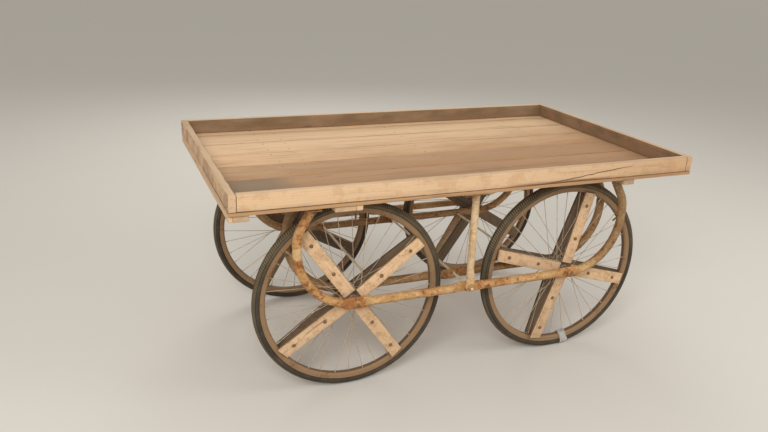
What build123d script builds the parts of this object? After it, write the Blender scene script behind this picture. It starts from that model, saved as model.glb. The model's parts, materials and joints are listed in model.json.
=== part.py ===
from build123d import *
import math
import os

# Four-wheeled street vendor's hand cart: a flat plank tray with a low rim,
# carried on bent pipe bows that hold four wire-spoked wheels.
# Millimetres. X runs along the cart, Y across it, Z up. The origin is on the
# ground below the middle of the tray.

# Tray
tray_length = 1780.0
tray_width = 1040.0
rim_board_height = 56.0
rim_board_thickness = 26.0
deck_thickness = 14.0
plank_width = 158.0
plank_gap = 5.0

# Timber under the deck, and the deck's height above the wheels
deck_clearance = 32.0
bearer_width = 50.0
bearer_height = 20.0
bearer_setback = 5.0
inner_bearer_setback = 50.0
end_bearer_setback = 14.0
middle_bearer_width = 110.0
cleat_width = 72.0
cleat_thickness = 19.0
cleat_offset = -72.5

# Wheels, set in from the tray's ends and sides
wheel_radius = 355.5
end_overhang = 447.5
side_overhang = 145.0
tyre_width = 38.0
rim_radius = 331.0
rim_width = 28.0
rim_depth = 21.0
rim_wall = 2.5
bead_clearance = 0.3
tread_width = 22.0
crown_rise = 3.0

# Hubs and spokes
axle_diameter = 12.0
bearing_clearance = 0.05
hub_barrel_radius = 17.0
hub_boss_radius = 15.0
hub_half_length = 35.0
flange_radius = 32.0
flange_hole_radius = 28.0
flange_half_spacing = 26.0
flange_thickness = 4.0
spoke_count = 36
spoke_diameter = 2.4
spoke_crossings = 3
spoke_end_gap = 0.3
rim_spoke_offset = 4.0

# Wooden battens that stiffen the wheels
batten_width = 48.0
batten_thickness = 10.0
batten_corner_gap = 2.0
batten_end_inset = 13.0
batten_seat_gap = 0.3
batten_bolt_radii = (128.0, 264.0)
batten_bolt_hole = 8.5

# Bent pipe side frames
pipe_diameter = 32.0
frame_offset = 66.0
bow_reach = 214.0
bow_lean = 52.0
shoulder_drop = 88.0
shoulder_radius = 120.0
squeeze_start = 56.0
eye_half_length = 26.0
eye_height = 44.0
eye_thickness = 12.0
foot_plate_thickness = 5.0
foot_plate_length = 66.0
strut_plate_width = 40.0

# Joint in the middle of each side frame
lug_thickness = 8.0
lug_height = 40.0
lug_half_length = 34.0
lug_squeeze = 40.0
strut_diameter = 27.0
strut_lug_width = 34.0

# Cross rods and axle hardware
tie_rod_diameter = 10.0
rod_hole_clearance = 0.1
outer_rod_inset = 112.0
rod_stick_out = 3.0
nut_across_flats = 22.0
nut_height = 10.0
stud_stick_out = 6.0
spacer_radius = 10.0
hub_end_clearance = 1.0

# Heights and places that follow from the sizes above
half_base = tray_length / 2 - end_overhang
half_track = tray_width / 2 - side_overhang
deck_bottom = 2 * wheel_radius + deck_clearance
bearer_bottom = deck_bottom - bearer_height
deck_top = deck_bottom + deck_thickness
tray_top = deck_top + rim_board_height
foot_plate_bottom = bearer_bottom - foot_plate_thickness
bow_top_reach = bow_reach - bow_lean
bow_top_x = half_base + bow_top_reach
left_bearer_x = -(tray_length - bearer_width) / 2 + end_bearer_setback

# name, side along X (-1 left, 1 right), side across Y (-1 front, 1 back), batten angle
wheels = (
    ("front_left", -1, -1, 35.5),
    ("front_right", 1, -1, -16.5),
    ("back_left", -1, 1, 61.0),
    ("back_right", 1, 1, -32.0),
)

# name, side across Y of its wheels, which side of those wheels it runs on
side_frames = (
    ("front_outer", -1, -1),
    ("front_inner", -1, 1),
    ("back_inner", 1, -1),
    ("back_outer", 1, 1),
)

os.makedirs("parts", exist_ok=True)


def save(builder, name):
    builder.part.label = name
    export_step(builder.part, "parts/" + name + ".step")


# Rim boards: the end boards cover the ends of the long ones
side_board_y = (tray_width - rim_board_thickness) / 2
end_board_x = (tray_length - rim_board_thickness) / 2
side_board_length = tray_length - 2 * rim_board_thickness

for name, side in (("tray_board_front", -1), ("tray_board_back", 1)):
    with BuildPart() as side_board:
        with BuildSketch(Plane.XY.offset(deck_top)):
            with Locations((0, side * side_board_y)):
                Rectangle(side_board_length, rim_board_thickness)
        extrude(amount=rim_board_height)
        top_edges = side_board.edges().filter_by(Axis.X).group_by(Axis.Z)[-1]
        fillet(top_edges, rim_board_thickness / 8)
    save(side_board, name)

for name, side in (("tray_board_left", -1), ("tray_board_right", 1)):
    with BuildPart() as end_board:
        with BuildSketch(Plane.XY.offset(deck_top)):
            with Locations((side * end_board_x, 0)):
                Rectangle(rim_board_thickness, tray_width)
        extrude(amount=rim_board_height)
        top_edges = end_board.edges().filter_by(Axis.Y).group_by(Axis.Z)[-1]
        fillet(top_edges, rim_board_thickness / 8)
    save(end_board, name)

# Deck planks run lengthwise, and the last one is ripped to the width that is left
plank_pitch = plank_width + plank_gap
with BuildPart() as deck_planks:
    with BuildSketch(Plane.XY.offset(deck_bottom)):
        for index in range(math.ceil(tray_width / plank_pitch)):
            plank_edge = -tray_width / 2 + index * plank_pitch
            width = min(plank_width, tray_width / 2 - plank_edge)
            with Locations((0, plank_edge + width / 2)):
                Rectangle(tray_length, width)
    extrude(amount=deck_thickness)
save(deck_planks, "deck_planks")

# Cross bearers: under the left end, over each pair of bows and over the struts
# name, place along X, width, how far its ends are set back from the tray's sides
bearers = (
    ("bearer_left_end", left_bearer_x, bearer_width, bearer_setback),
    ("bearer_left_bows", -bow_top_x, bearer_width, inner_bearer_setback),
    ("bearer_middle", 0.0, middle_bearer_width, inner_bearer_setback),
    ("bearer_right_bows", bow_top_x, bearer_width, bearer_setback),
)
for name, bearer_x, width, setback in bearers:
    with BuildPart() as bearer:
        with BuildSketch(Plane.XY.offset(bearer_bottom)):
            with Locations((bearer_x, 0)):
                Rectangle(width, tray_width - 2 * setback)
        extrude(amount=bearer_height)
        chamfer(bearer.edges().filter_by(Axis.Y).group_by(Axis.Z)[0], bearer_height / 16)
    save(bearer, name)

# A wide flat cleat ties the planks together above the left wheels
with BuildPart() as cleat:
    with BuildSketch(Plane.XY.offset(deck_bottom - cleat_thickness)):
        with Locations((-half_base + cleat_offset, 0)):
            Rectangle(cleat_width, tray_width - 2 * bearer_setback)
    extrude(amount=cleat_thickness)
save(cleat, "deck_cleat")


def bow_pipe(along, wheel_side, out_side, lug_low, lug_high):
    """One bent pipe: bearer, shoulder, bow, flattened axle eye, rail, lug."""
    hub_x = along * half_base
    frame_y = wheel_side * half_track + out_side * frame_offset
    lug_y = frame_y + out_side * (lug_low + lug_high) / 2
    frame_plane = Plane.XZ.offset(-frame_y)
    rail_end = half_base - lug_half_length - lug_squeeze

    # The pipe leans in above its shoulder, and runs on past the foot plate to be cut there
    shoulder_z = foot_plate_bottom - shoulder_drop
    lean_angle = math.atan2(bow_lean, shoulder_drop)
    shoulder_foot = shoulder_z - shoulder_radius * math.tan(lean_angle / 2)
    past_top = foot_plate_bottom + pipe_diameter
    past_reach = bow_reach - math.tan(lean_angle) * (past_top - shoulder_z)

    # The bow's bend is as large as its reach, or as the height above the hub allows
    bow_radius = min(bow_reach, shoulder_foot - wheel_radius - pipe_diameter / 8)
    bow_centre_reach = bow_reach - bow_radius
    bow_centre_z = wheel_radius + bow_radius
    bow_turn = math.degrees(math.acos((squeeze_start - bow_centre_reach) / bow_radius))

    with BuildPart() as pipe:
        with BuildLine(frame_plane) as route:
            FilletPolyline(
                (hub_x + along * past_reach, past_top),
                (hub_x + along * bow_reach, shoulder_z),
                (hub_x + along * bow_reach, bow_centre_z),
                radius=shoulder_radius,
            )
            JernArc(
                start=(hub_x + along * bow_reach, bow_centre_z),
                tangent=(0, -1),
                radius=bow_radius,
                arc_size=-along * bow_turn,
            )
        with BuildSketch(Plane(origin=route.wire() @ 0, z_dir=route.wire() % 0)):
            Circle(pipe_diameter / 2)
        sweep(path=route.wire())
        split(bisect_by=Plane.XY.offset(foot_plate_bottom), keep=Keep.BOTTOM)

        # The pipe is squeezed flat where the axle goes through
        with BuildSketch(Plane(origin=route.wire() @ 1, z_dir=route.wire() % 1)):
            Circle(pipe_diameter / 2)
        with BuildSketch(Plane.YZ.offset(hub_x + along * eye_half_length)):
            with Locations((frame_y, wheel_radius)):
                SlotOverall(eye_height, eye_thickness, rotation=90)
        loft()
        with BuildSketch(Plane.YZ.offset(hub_x - eye_half_length)):
            with Locations((frame_y, wheel_radius)):
                SlotOverall(eye_height, eye_thickness, rotation=90)
        extrude(amount=2 * eye_half_length)
        with BuildSketch(Plane.YZ.offset(hub_x - along * eye_half_length)):
            with Locations((frame_y, wheel_radius)):
                SlotOverall(eye_height, eye_thickness, rotation=90)
        with BuildSketch(Plane.YZ.offset(hub_x - along * squeeze_start)):
            with Locations((frame_y, wheel_radius)):
                Circle(pipe_diameter / 2)
        loft()

        # Straight rail towards the middle, ending in a flat lug
        with BuildSketch(Plane.YZ.offset(hub_x - along * squeeze_start)):
            with Locations((frame_y, wheel_radius)):
                Circle(pipe_diameter / 2)
        extrude(amount=-along * (rail_end - squeeze_start))
        with BuildSketch(Plane.YZ.offset(hub_x - along * rail_end)):
            with Locations((frame_y, wheel_radius)):
                Circle(pipe_diameter / 2)
        with BuildSketch(Plane.YZ.offset(along * lug_half_length)):
            with Locations((lug_y, wheel_radius)):
                SlotOverall(lug_height, lug_thickness, rotation=90)
        loft()
        with BuildSketch(Plane.XZ.offset(-lug_y)):
            with Locations((along * lug_half_length / 2, wheel_radius)):
                Rectangle(lug_half_length, lug_height)
            with Locations((0, wheel_radius)):
                Circle(lug_height / 2)
        extrude(amount=lug_thickness / 2, both=True)

        # Holes for the axle, the middle rod and, on inner frames, the outer rods
        hole_plane = Plane.XZ.offset(-frame_y)
        with BuildSketch(hole_plane):
            with Locations((hub_x, wheel_radius)):
                Circle(axle_diameter / 2 + rod_hole_clearance)
            with Locations((0, wheel_radius)):
                Circle(tie_rod_diameter / 2 + rod_hole_clearance)
            if out_side != wheel_side:
                with Locations((hub_x - along * outer_rod_inset, wheel_radius)):
                    Circle(tie_rod_diameter / 2 + rod_hole_clearance)
        extrude(amount=pipe_diameter, both=True, mode=Mode.SUBTRACT)

        # Foot plate under the bearer
        with BuildSketch(Plane.XY.offset(foot_plate_bottom)):
            with Locations((along * bow_top_x, frame_y)):
                RectangleRounded(bearer_width, foot_plate_length, bearer_width / 8)
        extrude(amount=foot_plate_thickness)
    return pipe


# name of the end, side along X, lug faces counted from the frame's middle plane
lug_seat = 1.5 * lug_thickness
bow_ends = (
    ("left", -1, -lug_seat, -lug_seat + lug_thickness),
    ("right", 1, -lug_thickness / 2, lug_thickness / 2),
)
for frame_name, wheel_side, out_side in side_frames:
    for end_name, along, lug_low, lug_high in bow_ends:
        bow = bow_pipe(along, wheel_side, out_side, lug_low, lug_high)
        save(bow, "bow_" + frame_name + "_" + end_name)

# Struts stand on the outer frames' middle joints and hold up the middle bearer
outer_frames = [frame for frame in side_frames if frame[1] == frame[2]]
for frame_name, wheel_side, out_side in outer_frames:
    frame_y = wheel_side * half_track + out_side * frame_offset
    lug_y = frame_y + out_side * lug_thickness
    strut_round_z = wheel_radius + lug_half_length + lug_squeeze
    with BuildPart() as strut:
        with BuildSketch(Plane.XZ.offset(-lug_y)):
            with Locations((0, wheel_radius + lug_half_length / 2)):
                Rectangle(strut_lug_width, lug_half_length)
            with Locations((0, wheel_radius)):
                Circle(strut_lug_width / 2)
        extrude(amount=lug_thickness / 2, both=True)
        with BuildSketch(Plane.XY.offset(wheel_radius + lug_half_length)):
            with Locations((0, lug_y)):
                SlotOverall(strut_lug_width, lug_thickness)
        with BuildSketch(Plane.XY.offset(strut_round_z)):
            with Locations((0, frame_y)):
                Circle(strut_diameter / 2)
        loft()
        with BuildSketch(Plane.XY.offset(strut_round_z)):
            with Locations((0, frame_y)):
                Circle(strut_diameter / 2)
        extrude(amount=foot_plate_bottom - strut_round_z)
        with BuildSketch(Plane.XY.offset(foot_plate_bottom)):
            with Locations((0, frame_y)):
                RectangleRounded(middle_bearer_width, strut_plate_width, strut_plate_width / 8)
        extrude(amount=foot_plate_thickness)
        with BuildSketch(Plane.XZ.offset(-frame_y)):
            with Locations((0, wheel_radius)):
                Circle(tie_rod_diameter / 2 + rod_hole_clearance)
        extrude(amount=pipe_diameter, both=True, mode=Mode.SUBTRACT)
    save(strut, "strut_" + frame_name)


# The middle rod bolts the lugs of all four side frames together
outer_lug_face = half_track + frame_offset + lug_seat
middle_rod_half = outer_lug_face + nut_height + stud_stick_out
with BuildPart() as middle_rod:
    with BuildSketch(Plane.XZ.offset(-middle_rod_half)):
        with Locations((0, wheel_radius)):
            Circle(tie_rod_diameter / 2)
    extrude(amount=2 * middle_rod_half)
    for side in (-1, 1):
        with BuildSketch(Plane.XZ.offset(-side * outer_lug_face)):
            with Locations((0, wheel_radius)):
                RegularPolygon(nut_across_flats / 2, 6, major_radius=False)
        extrude(amount=-side * nut_height)
save(middle_rod, "tie_rod_middle")

# The outer rods are welded through the inner side frames, clear of the wheels
outer_rod_half = half_track - frame_offset + pipe_diameter / 2 + rod_stick_out
for name, along in (("tie_rod_left", -1), ("tie_rod_right", 1)):
    with BuildPart() as outer_rod:
        with BuildSketch(Plane.XZ.offset(-outer_rod_half)):
            with Locations((along * (half_base - outer_rod_inset), wheel_radius)):
                Circle(tie_rod_diameter / 2)
        extrude(amount=2 * outer_rod_half)
    save(outer_rod, name)

# Fixed axles with their nuts and the spacers between hub and side frames
eye_outer_face = frame_offset + eye_thickness / 2
eye_inner_face = frame_offset - eye_thickness / 2
axle_half = eye_outer_face + nut_height + stud_stick_out
spacer_start = hub_half_length + hub_end_clearance
for wheel_name, along, wheel_side, batten_angle in wheels:
    hub_x = along * half_base
    hub_y = wheel_side * half_track
    with BuildPart() as axle:
        with BuildSketch(Plane.XZ.offset(-hub_y - axle_half)):
            with Locations((hub_x, wheel_radius)):
                Circle(axle_diameter / 2)
        extrude(amount=2 * axle_half)
        for side in (-1, 1):
            with BuildSketch(Plane.XZ.offset(-hub_y - side * eye_outer_face)):
                with Locations((hub_x, wheel_radius)):
                    RegularPolygon(nut_across_flats / 2, 6, major_radius=False)
            extrude(amount=-side * nut_height)
            with BuildSketch(Plane.XZ.offset(-hub_y - side * spacer_start)):
                with Locations((hub_x, wheel_radius)):
                    Circle(spacer_radius)
            extrude(amount=-side * (eye_inner_face - spacer_start))
    save(axle, "axle_" + wheel_name)

# Wheels
rim_inner_radius = rim_radius - rim_depth
half_rim = rim_width / 2
channel_half = half_rim - rim_wall
well_half = half_rim - 2 * rim_wall
spoke_angle = 360.0 / spoke_count
tread_shoulder = wheel_radius - crown_rise
batten_inner_radius = batten_width / 2 + batten_corner_gap
batten_outer_radius = rim_radius - batten_end_inset


def wheel_axis(hub_x):
    return Axis((hub_x, 0, wheel_radius), (0, 1, 0))


def rim_section(hub_x, hub_y):
    """Channel rim: two upright flanges joined by a hoop with bevelled corners."""
    outer = (
        (-half_rim, rim_radius),
        (-half_rim, rim_inner_radius + 2 * rim_wall),
        (-well_half, rim_inner_radius),
        (well_half, rim_inner_radius),
        (half_rim, rim_inner_radius + 2 * rim_wall),
        (half_rim, rim_radius),
        (channel_half, rim_radius),
        (channel_half, rim_inner_radius + 3 * rim_wall),
        (well_half - rim_wall / 2, rim_inner_radius + rim_wall),
        (-well_half + rim_wall / 2, rim_inner_radius + rim_wall),
        (-channel_half, rim_inner_radius + 3 * rim_wall),
        (-channel_half, rim_radius),
    )
    with BuildSketch(Plane.YZ.offset(hub_x)) as section:
        with BuildLine():
            Polyline(*((hub_y + y, wheel_radius + r) for y, r in outer), close=True)
        make_face()
    return section


def tyre_section(hub_x, hub_y):
    """Tyre: a bead between the rim's flanges, round side walls and a flat crown."""
    bead_half = channel_half - bead_clearance
    bead_foot = rim_inner_radius + rim_wall + bead_clearance
    foot_half = well_half - rim_wall / 2 - bead_clearance
    bead_knee = rim_inner_radius + 3 * rim_wall + bead_clearance
    lip = rim_radius + bead_clearance
    belly = (lip + tread_shoulder) / 2
    with BuildSketch(Plane.YZ.offset(hub_x)) as section:
        with BuildLine():
            for side in (-1, 1):
                Polyline(
                    (hub_y, wheel_radius + bead_foot),
                    (hub_y + side * foot_half, wheel_radius + bead_foot),
                    (hub_y + side * bead_half, wheel_radius + bead_knee),
                    (hub_y + side * bead_half, wheel_radius + lip),
                    (hub_y + side * half_rim, wheel_radius + lip),
                )
                ThreePointArc(
                    (hub_y + side * half_rim, wheel_radius + lip),
                    (hub_y + side * tyre_width / 2, wheel_radius + belly),
                    (hub_y + side * tread_width / 2, wheel_radius + tread_shoulder),
                )
            ThreePointArc(
                (hub_y - tread_width / 2, wheel_radius + tread_shoulder),
                (hub_y, 2 * wheel_radius),
                (hub_y + tread_width / 2, wheel_radius + tread_shoulder),
            )
        make_face()
    return section


def spoke_plane(hub_x, hub_y, side, index):
    """Plane at a spoke's hub end, looking along the spoke, and the spoke's length."""
    hub_turn = 2 * spoke_angle * index + (spoke_angle if side > 0 else 0.0)
    lead = spoke_crossings * 2 * spoke_angle * (1 if index % 2 else -1)
    rim_turn = hub_turn + lead
    rim_end = rim_inner_radius - spoke_end_gap
    hub_end = Vector(
        hub_x + flange_hole_radius * math.cos(math.radians(hub_turn)),
        hub_y + side * flange_half_spacing,
        wheel_radius + flange_hole_radius * math.sin(math.radians(hub_turn)),
    )
    far_end = Vector(
        hub_x + rim_end * math.cos(math.radians(rim_turn)),
        hub_y + side * rim_spoke_offset,
        wheel_radius + rim_end * math.sin(math.radians(rim_turn)),
    )
    run = far_end - hub_end
    return Plane(origin=hub_end, z_dir=run), run.length


def batten_plane(hub_x, hub_y, side, angle):
    """Plane on the inner face of one batten arm, with X along the arm outwards."""
    inner_y = flange_half_spacing + flange_thickness / 2 + 2 * batten_seat_gap
    outer_y = half_rim + batten_seat_gap
    tilt = math.atan2(inner_y - outer_y, batten_outer_radius - batten_inner_radius)
    across = math.cos(math.radians(angle))
    up = math.sin(math.radians(angle))
    start = (
        hub_x + batten_inner_radius * across,
        hub_y + side * inner_y,
        wheel_radius + batten_inner_radius * up,
    )
    arm = (math.cos(tilt) * across, -side * math.sin(tilt), math.cos(tilt) * up)
    face = (math.sin(tilt) * across, side * math.cos(tilt), math.sin(tilt) * up)
    return Plane(origin=start, x_dir=arm, z_dir=face)


for wheel_name, along, wheel_side, batten_angle in wheels:
    hub_x = along * half_base
    hub_y = wheel_side * half_track

    with BuildPart() as tyre:
        tyre_profile = tyre_section(hub_x, hub_y)
        add(tyre_profile.sketch)
        revolve(axis=wheel_axis(hub_x))
    save(tyre, "tyre_" + wheel_name)

    with BuildPart() as rim:
        rim_profile = rim_section(hub_x, hub_y)
        add(rim_profile.sketch)
        revolve(axis=wheel_axis(hub_x))
    save(rim, "rim_" + wheel_name)

    with BuildPart() as hub:
        with BuildSketch(Plane.YZ.offset(hub_x)):
            with Locations((hub_y, wheel_radius + hub_barrel_radius / 2)):
                Rectangle(2 * flange_half_spacing, hub_barrel_radius)
            with Locations((hub_y, wheel_radius + hub_boss_radius / 2)):
                Rectangle(2 * hub_half_length, hub_boss_radius)
            for side in (-1, 1):
                with Locations((hub_y + side * flange_half_spacing, wheel_radius + flange_radius / 2)):
                    Rectangle(flange_thickness, flange_radius)
            with Locations((hub_y, wheel_radius)):
                bore = axle_diameter + 2 * bearing_clearance
                Rectangle(2 * hub_half_length, bore, mode=Mode.SUBTRACT)
        revolve(axis=wheel_axis(hub_x))
        for side in (-1, 1):
            for index in range(spoke_count // 2):
                plane, length = spoke_plane(hub_x, hub_y, side, index)
                with BuildSketch(plane):
                    Circle(spoke_diameter / 2)
                extrude(amount=length)
    save(hub, "hub_spokes_" + wheel_name)

    for side_name, side in (("outside", wheel_side), ("inside", -wheel_side)):
        with BuildPart() as battens:
            for quarter in range(4):
                arm_plane = batten_plane(hub_x, hub_y, side, batten_angle + 90 * quarter)
                arm_length = batten_outer_radius - batten_inner_radius
                with BuildSketch(arm_plane):
                    with Locations((arm_length / 2, 0)):
                        Rectangle(arm_length, batten_width)
                    for bolt_radius in batten_bolt_radii:
                        with Locations((bolt_radius - batten_inner_radius, 0)):
                            Circle(batten_bolt_hole / 2, mode=Mode.SUBTRACT)
                extrude(amount=batten_thickness)
        save(battens, "battens_" + side_name + "_" + wheel_name)
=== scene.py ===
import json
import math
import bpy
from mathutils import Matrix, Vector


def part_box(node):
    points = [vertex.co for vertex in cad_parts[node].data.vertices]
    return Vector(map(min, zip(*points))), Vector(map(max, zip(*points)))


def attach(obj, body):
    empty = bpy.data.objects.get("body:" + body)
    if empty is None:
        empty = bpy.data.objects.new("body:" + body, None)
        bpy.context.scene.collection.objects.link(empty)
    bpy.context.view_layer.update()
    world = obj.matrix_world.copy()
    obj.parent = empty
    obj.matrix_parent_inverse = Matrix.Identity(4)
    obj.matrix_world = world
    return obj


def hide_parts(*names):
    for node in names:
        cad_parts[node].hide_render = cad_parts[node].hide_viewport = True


bl_info = {
    "name": "Hand Cart Dressing",
    "version": (1, 0, 0),
    "blender": (4, 5, 0),
    "location": "3D View > Sidebar > Hand Cart",
    "description": "Dresses the packed hand cart in weathered timber, worn pipe, rusty rims and rubber",
    "category": "Object",
}

import bpy
import numpy as np
from bpy.props import FloatProperty, FloatVectorProperty, IntProperty, PointerProperty
from mathutils import Matrix, Vector

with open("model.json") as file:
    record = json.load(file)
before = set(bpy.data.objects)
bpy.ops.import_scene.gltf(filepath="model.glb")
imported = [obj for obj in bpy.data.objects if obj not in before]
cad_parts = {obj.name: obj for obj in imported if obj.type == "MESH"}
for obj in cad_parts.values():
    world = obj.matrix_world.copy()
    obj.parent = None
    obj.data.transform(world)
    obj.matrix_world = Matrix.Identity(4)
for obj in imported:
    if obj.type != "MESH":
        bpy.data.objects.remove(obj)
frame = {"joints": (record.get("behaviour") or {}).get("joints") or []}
bpy.context.view_layer.update()

CART = "cart_frame"
ACROSS = Vector((0.0, 1.0, 0.0))

# Places and sizes that part.py gives its solids, in metres and degrees
HUB = {joint["name"][len("spin_"):]: Vector(joint["pos_m"]) for joint in frame["joints"]}
AXLE_HEIGHT = HUB["front_left"].z
HALF_BASE = HUB["front_right"].x
HALF_TRACK = HUB["back_left"].y
FRAME_OFFSET = 0.066
DECK_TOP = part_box("deck_planks")[1].z
PLANK_WIDTH, PLANK_GAP = 0.158, 0.005
CORNER_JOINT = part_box("tray_board_right")[0].x
FRONT_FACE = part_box("tray_board_front")[0].y
PLATE_THICKNESS = 0.005
PLATE_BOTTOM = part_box("bearer_middle")[0].z - PLATE_THICKNESS
BEARERS = ("bearer_left_end", "bearer_left_bows", "bearer_middle", "bearer_right_bows")
BOW_REACH, BOW_TOP_REACH, SHOULDER_DROP, SHOULDER_RADIUS = 0.214, 0.162, 0.088, 0.120
BOW_CENTRE = AXLE_HEIGHT + BOW_REACH
BOW_LEAN = math.atan2(BOW_REACH - BOW_TOP_REACH, SHOULDER_DROP)
SQUEEZE_START, EYE_HALF_LENGTH, EYE_HALF = 0.056, 0.026, (0.006, 0.022)
LUG_HALF, LUG_START, LUG_FLAT, LUG_SHIFT = (0.004, 0.020), 0.074, 0.034, 0.008
STRUT_LUG_HALF = (0.004, 0.017)
BOW_PLATE, STRUT_PLATE = (0.050, 0.066), (0.110, 0.040)
ROD_REACH, ROD_RADIUS = HALF_BASE - 0.112, 0.005
MIDDLE_ROD_HALF, SIDE_ROD_HALF = 0.469, 0.328
AXLE_HALF, AXLE_RADIUS = 0.088, 0.006
BATTEN_TURN = {"front_left": 35.5, "front_right": -16.5, "back_left": 61.0, "back_right": -32.0}
BATTEN_START, BATTEN_END, BATTEN_SIZE = 0.026, 0.318, (0.292, 0.048, 0.010)
RIM_RADIUS, RIM_HALF, RIM_INNER = 0.331, 0.014, 0.310
TYRE_RADIUS, TREAD_SHOULDER, TREAD_HALF, TYRE_HALF = 0.3555, 0.3525, 0.011, 0.019
SPOKE_PATTERN, SPOKE_HOLES, SPOKE_END, FLANGE = 9, 0.028, 0.3097, 0.026

# Places and steps that only the dressing uses, in metres and degrees
SPLIT_START, SPLIT_LEVEL, SPLIT_SLOPE = 0.22, DECK_TOP - 0.001, 0.11
SQUEEZE_STEPS, GRAIN_RADIUS = (0.2, 0.4, 0.6, 0.8, 1.0), 0.016
BOW_BOLT_SHIFT, STRUT_BOLT_SHIFT, BATTEN_BOLTS = 0.025, 0.043, (0.128, 0.264)
MIDDLE_ROD_NUT, AXLE_NUT, BOLT_SIZE, BOLT_WASHER = 0.453, 0.072, 0.013, 0.0105
TREAD_START = 0.3440
RAG_WHEEL, RAG_TURN = "front_right", -81.0

# Name, side of its wheels across the cart, side of those wheels that it runs on
SIDE_FRAMES = (
    ("front_outer", -1, -1),
    ("front_inner", -1, 1),
    ("back_inner", 1, -1),
    ("back_outer", 1, 1),
)


def tint(red, green, blue):
    """A colour as a picture shows it, from 0 to 255, as the linear values that Blender takes."""
    return tuple(
        part / 12.92 if part <= 0.04045 else ((part + 0.055) / 1.055) ** 2.4
        for part in (red / 255, green / 255, blue / 255)
    )


def colour(name, description, default):
    """A colour that the panel shows."""
    return FloatVectorProperty(
        name=name, description=description, default=default, subtype="COLOR", min=0.0, max=1.0
    )


def length(name, description, default):
    """A length that the panel shows."""
    return FloatProperty(name=name, description=description, default=default, unit="LENGTH", min=0.0)


class TimberSettings(bpy.types.PropertyGroup):
    """Sizes and colours of the tray's boards and the wheels' battens"""

    arris: length("Arris", "How far the boards' edges are worn round", 0.0016)
    wear: length("Wear", "How much deeper the edges are worn in places", 0.0024)
    nail_head: length("Nail head", "Radius of a nail's head", 0.0031)
    pale: colour("Pale timber", "Pale wood between the growth rings", tint(222, 188, 150))
    warm: colour("Warm timber", "Darker wood of the growth rings", tint(194, 154, 111))
    brown: colour("Brown stain", "Old stain and knots", tint(120, 82, 50))
    grey: colour("Grey weathering", "Grey of wood long in the sun", tint(154, 132, 110))


class PipeSettings(bpy.types.PropertyGroup):
    """Sizes and colours of the bent pipe frames"""

    radius: length("Pipe radius", "Outside radius of the bows and rails", 0.016)
    strut_radius: length("Strut radius", "Outside radius of the struts", 0.0135)
    weld_bead: length("Weld bead", "Radius of a weld bead", 0.0032)
    paint: colour("Old paint", "Worn cream paint", tint(200, 166, 116))
    strut_paint: colour("Strut paint", "Paler paint on the struts", tint(214, 186, 148))
    rust: colour("Rust", "Bright rust", tint(156, 99, 48))
    dark_rust: colour("Dark rust", "Old dark rust", tint(104, 64, 34))


class WheelSettings(bpy.types.PropertyGroup):
    """Sizes and colours of the wheels"""

    ribs: IntProperty(name="Tread ribs", description="Ribs round each side of the tread", default=238)
    rib_depth: length("Tread depth", "How deep the grooves between the ribs are", 0.0017)
    spoke_radius: length("Spoke radius", "Radius of a wire spoke", 0.0012)
    nipple: length("Nipple length", "Length of a spoke's nipple", 0.013)
    rim: colour("Rim", "Dusty old paint left on the rims", tint(148, 116, 80))
    spoke: colour("Spoke", "Dull galvanised wire", tint(184, 162, 134))
    rubber: colour("Rubber", "Old tyre rubber", tint(42, 36, 29))
    dust: colour("Dust", "Road dust on the tyres", tint(122, 104, 74))


class FastenerSettings(bpy.types.PropertyGroup):
    """Sizes and colours of the nuts, bolts and nails"""

    nut_size: length("Nut size", "Across the flats of the large nuts", 0.022)
    bolt_head: length("Bolt head", "Radius of a batten bolt's head", 0.0070)
    nail: colour("Nail steel", "Dusty nail heads", tint(150, 116, 82))
    dark: colour("Dark steel", "Rusted heads and nuts", tint(122, 92, 64))


class StageSettings(bpy.types.PropertyGroup):
    """The camera, floor and light"""

    camera_at: FloatVectorProperty(
        name="Camera", description="Where the camera stands", default=(-1.2557, -2.6010, 1.5175),
        subtype="TRANSLATION", unit="LENGTH",
    )
    lens: FloatProperty(name="Lens", description="Focal length in millimetres", default=34.451, min=1.0)
    floor: colour("Floor", "Pale floor", tint(214, 209, 200))
    key: FloatProperty(
        name="Key light", description="Strength of the main light in watts", default=140.0
    )
    fill: FloatProperty(
        name="Fill light", description="Strength of the other lights in watts", default=56.0
    )
    sky: FloatProperty(name="Sky", description="Strength of the even light all round", default=0.62)


class HandCartSettings(bpy.types.PropertyGroup):
    """Everything that a user would change"""

    timber: PointerProperty(type=TimberSettings)
    pipe: PointerProperty(type=PipeSettings)
    wheel: PointerProperty(type=WheelSettings)
    fastener: PointerProperty(type=FastenerSettings)
    stage: PointerProperty(type=StageSettings)


def side_frames():
    """Each side frame's name, its place across the cart, its side of the wheel and if it is outer."""
    for name, wheel_side, out_side in SIDE_FRAMES:
        yield name, wheel_side * HALF_TRACK + out_side * FRAME_OFFSET, out_side, out_side == wheel_side


# Node trees


class Socket:
    """An output of a node, which adds Math nodes where it is used in a sum."""

    def __init__(self, nodes, socket):
        self.nodes = nodes
        self.socket = socket

    def math(self, operation, *values):
        return self.nodes.node("ShaderNodeMath", {"operation": operation}, dict(enumerate(values)))

    def __add__(self, other):
        return self.math("ADD", self, other)

    def __sub__(self, other):
        return self.math("SUBTRACT", self, other)

    def __rsub__(self, other):
        return self.math("SUBTRACT", other, self)

    def __mul__(self, other):
        return self.math("MULTIPLY", self, other)

    def __pow__(self, other):
        return self.math("POWER", self, other)

    __radd__ = __add__

    def sine(self):
        return self.math("SINE", self)

    def between(self, low, high):
        """0 below low, 1 above high, and a smooth step from one to the other."""
        settings = {"interpolation_type": "SMOOTHSTEP"}
        return self.nodes.node("ShaderNodeMapRange", settings, {0: self, 1: low, 2: high})


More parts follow.
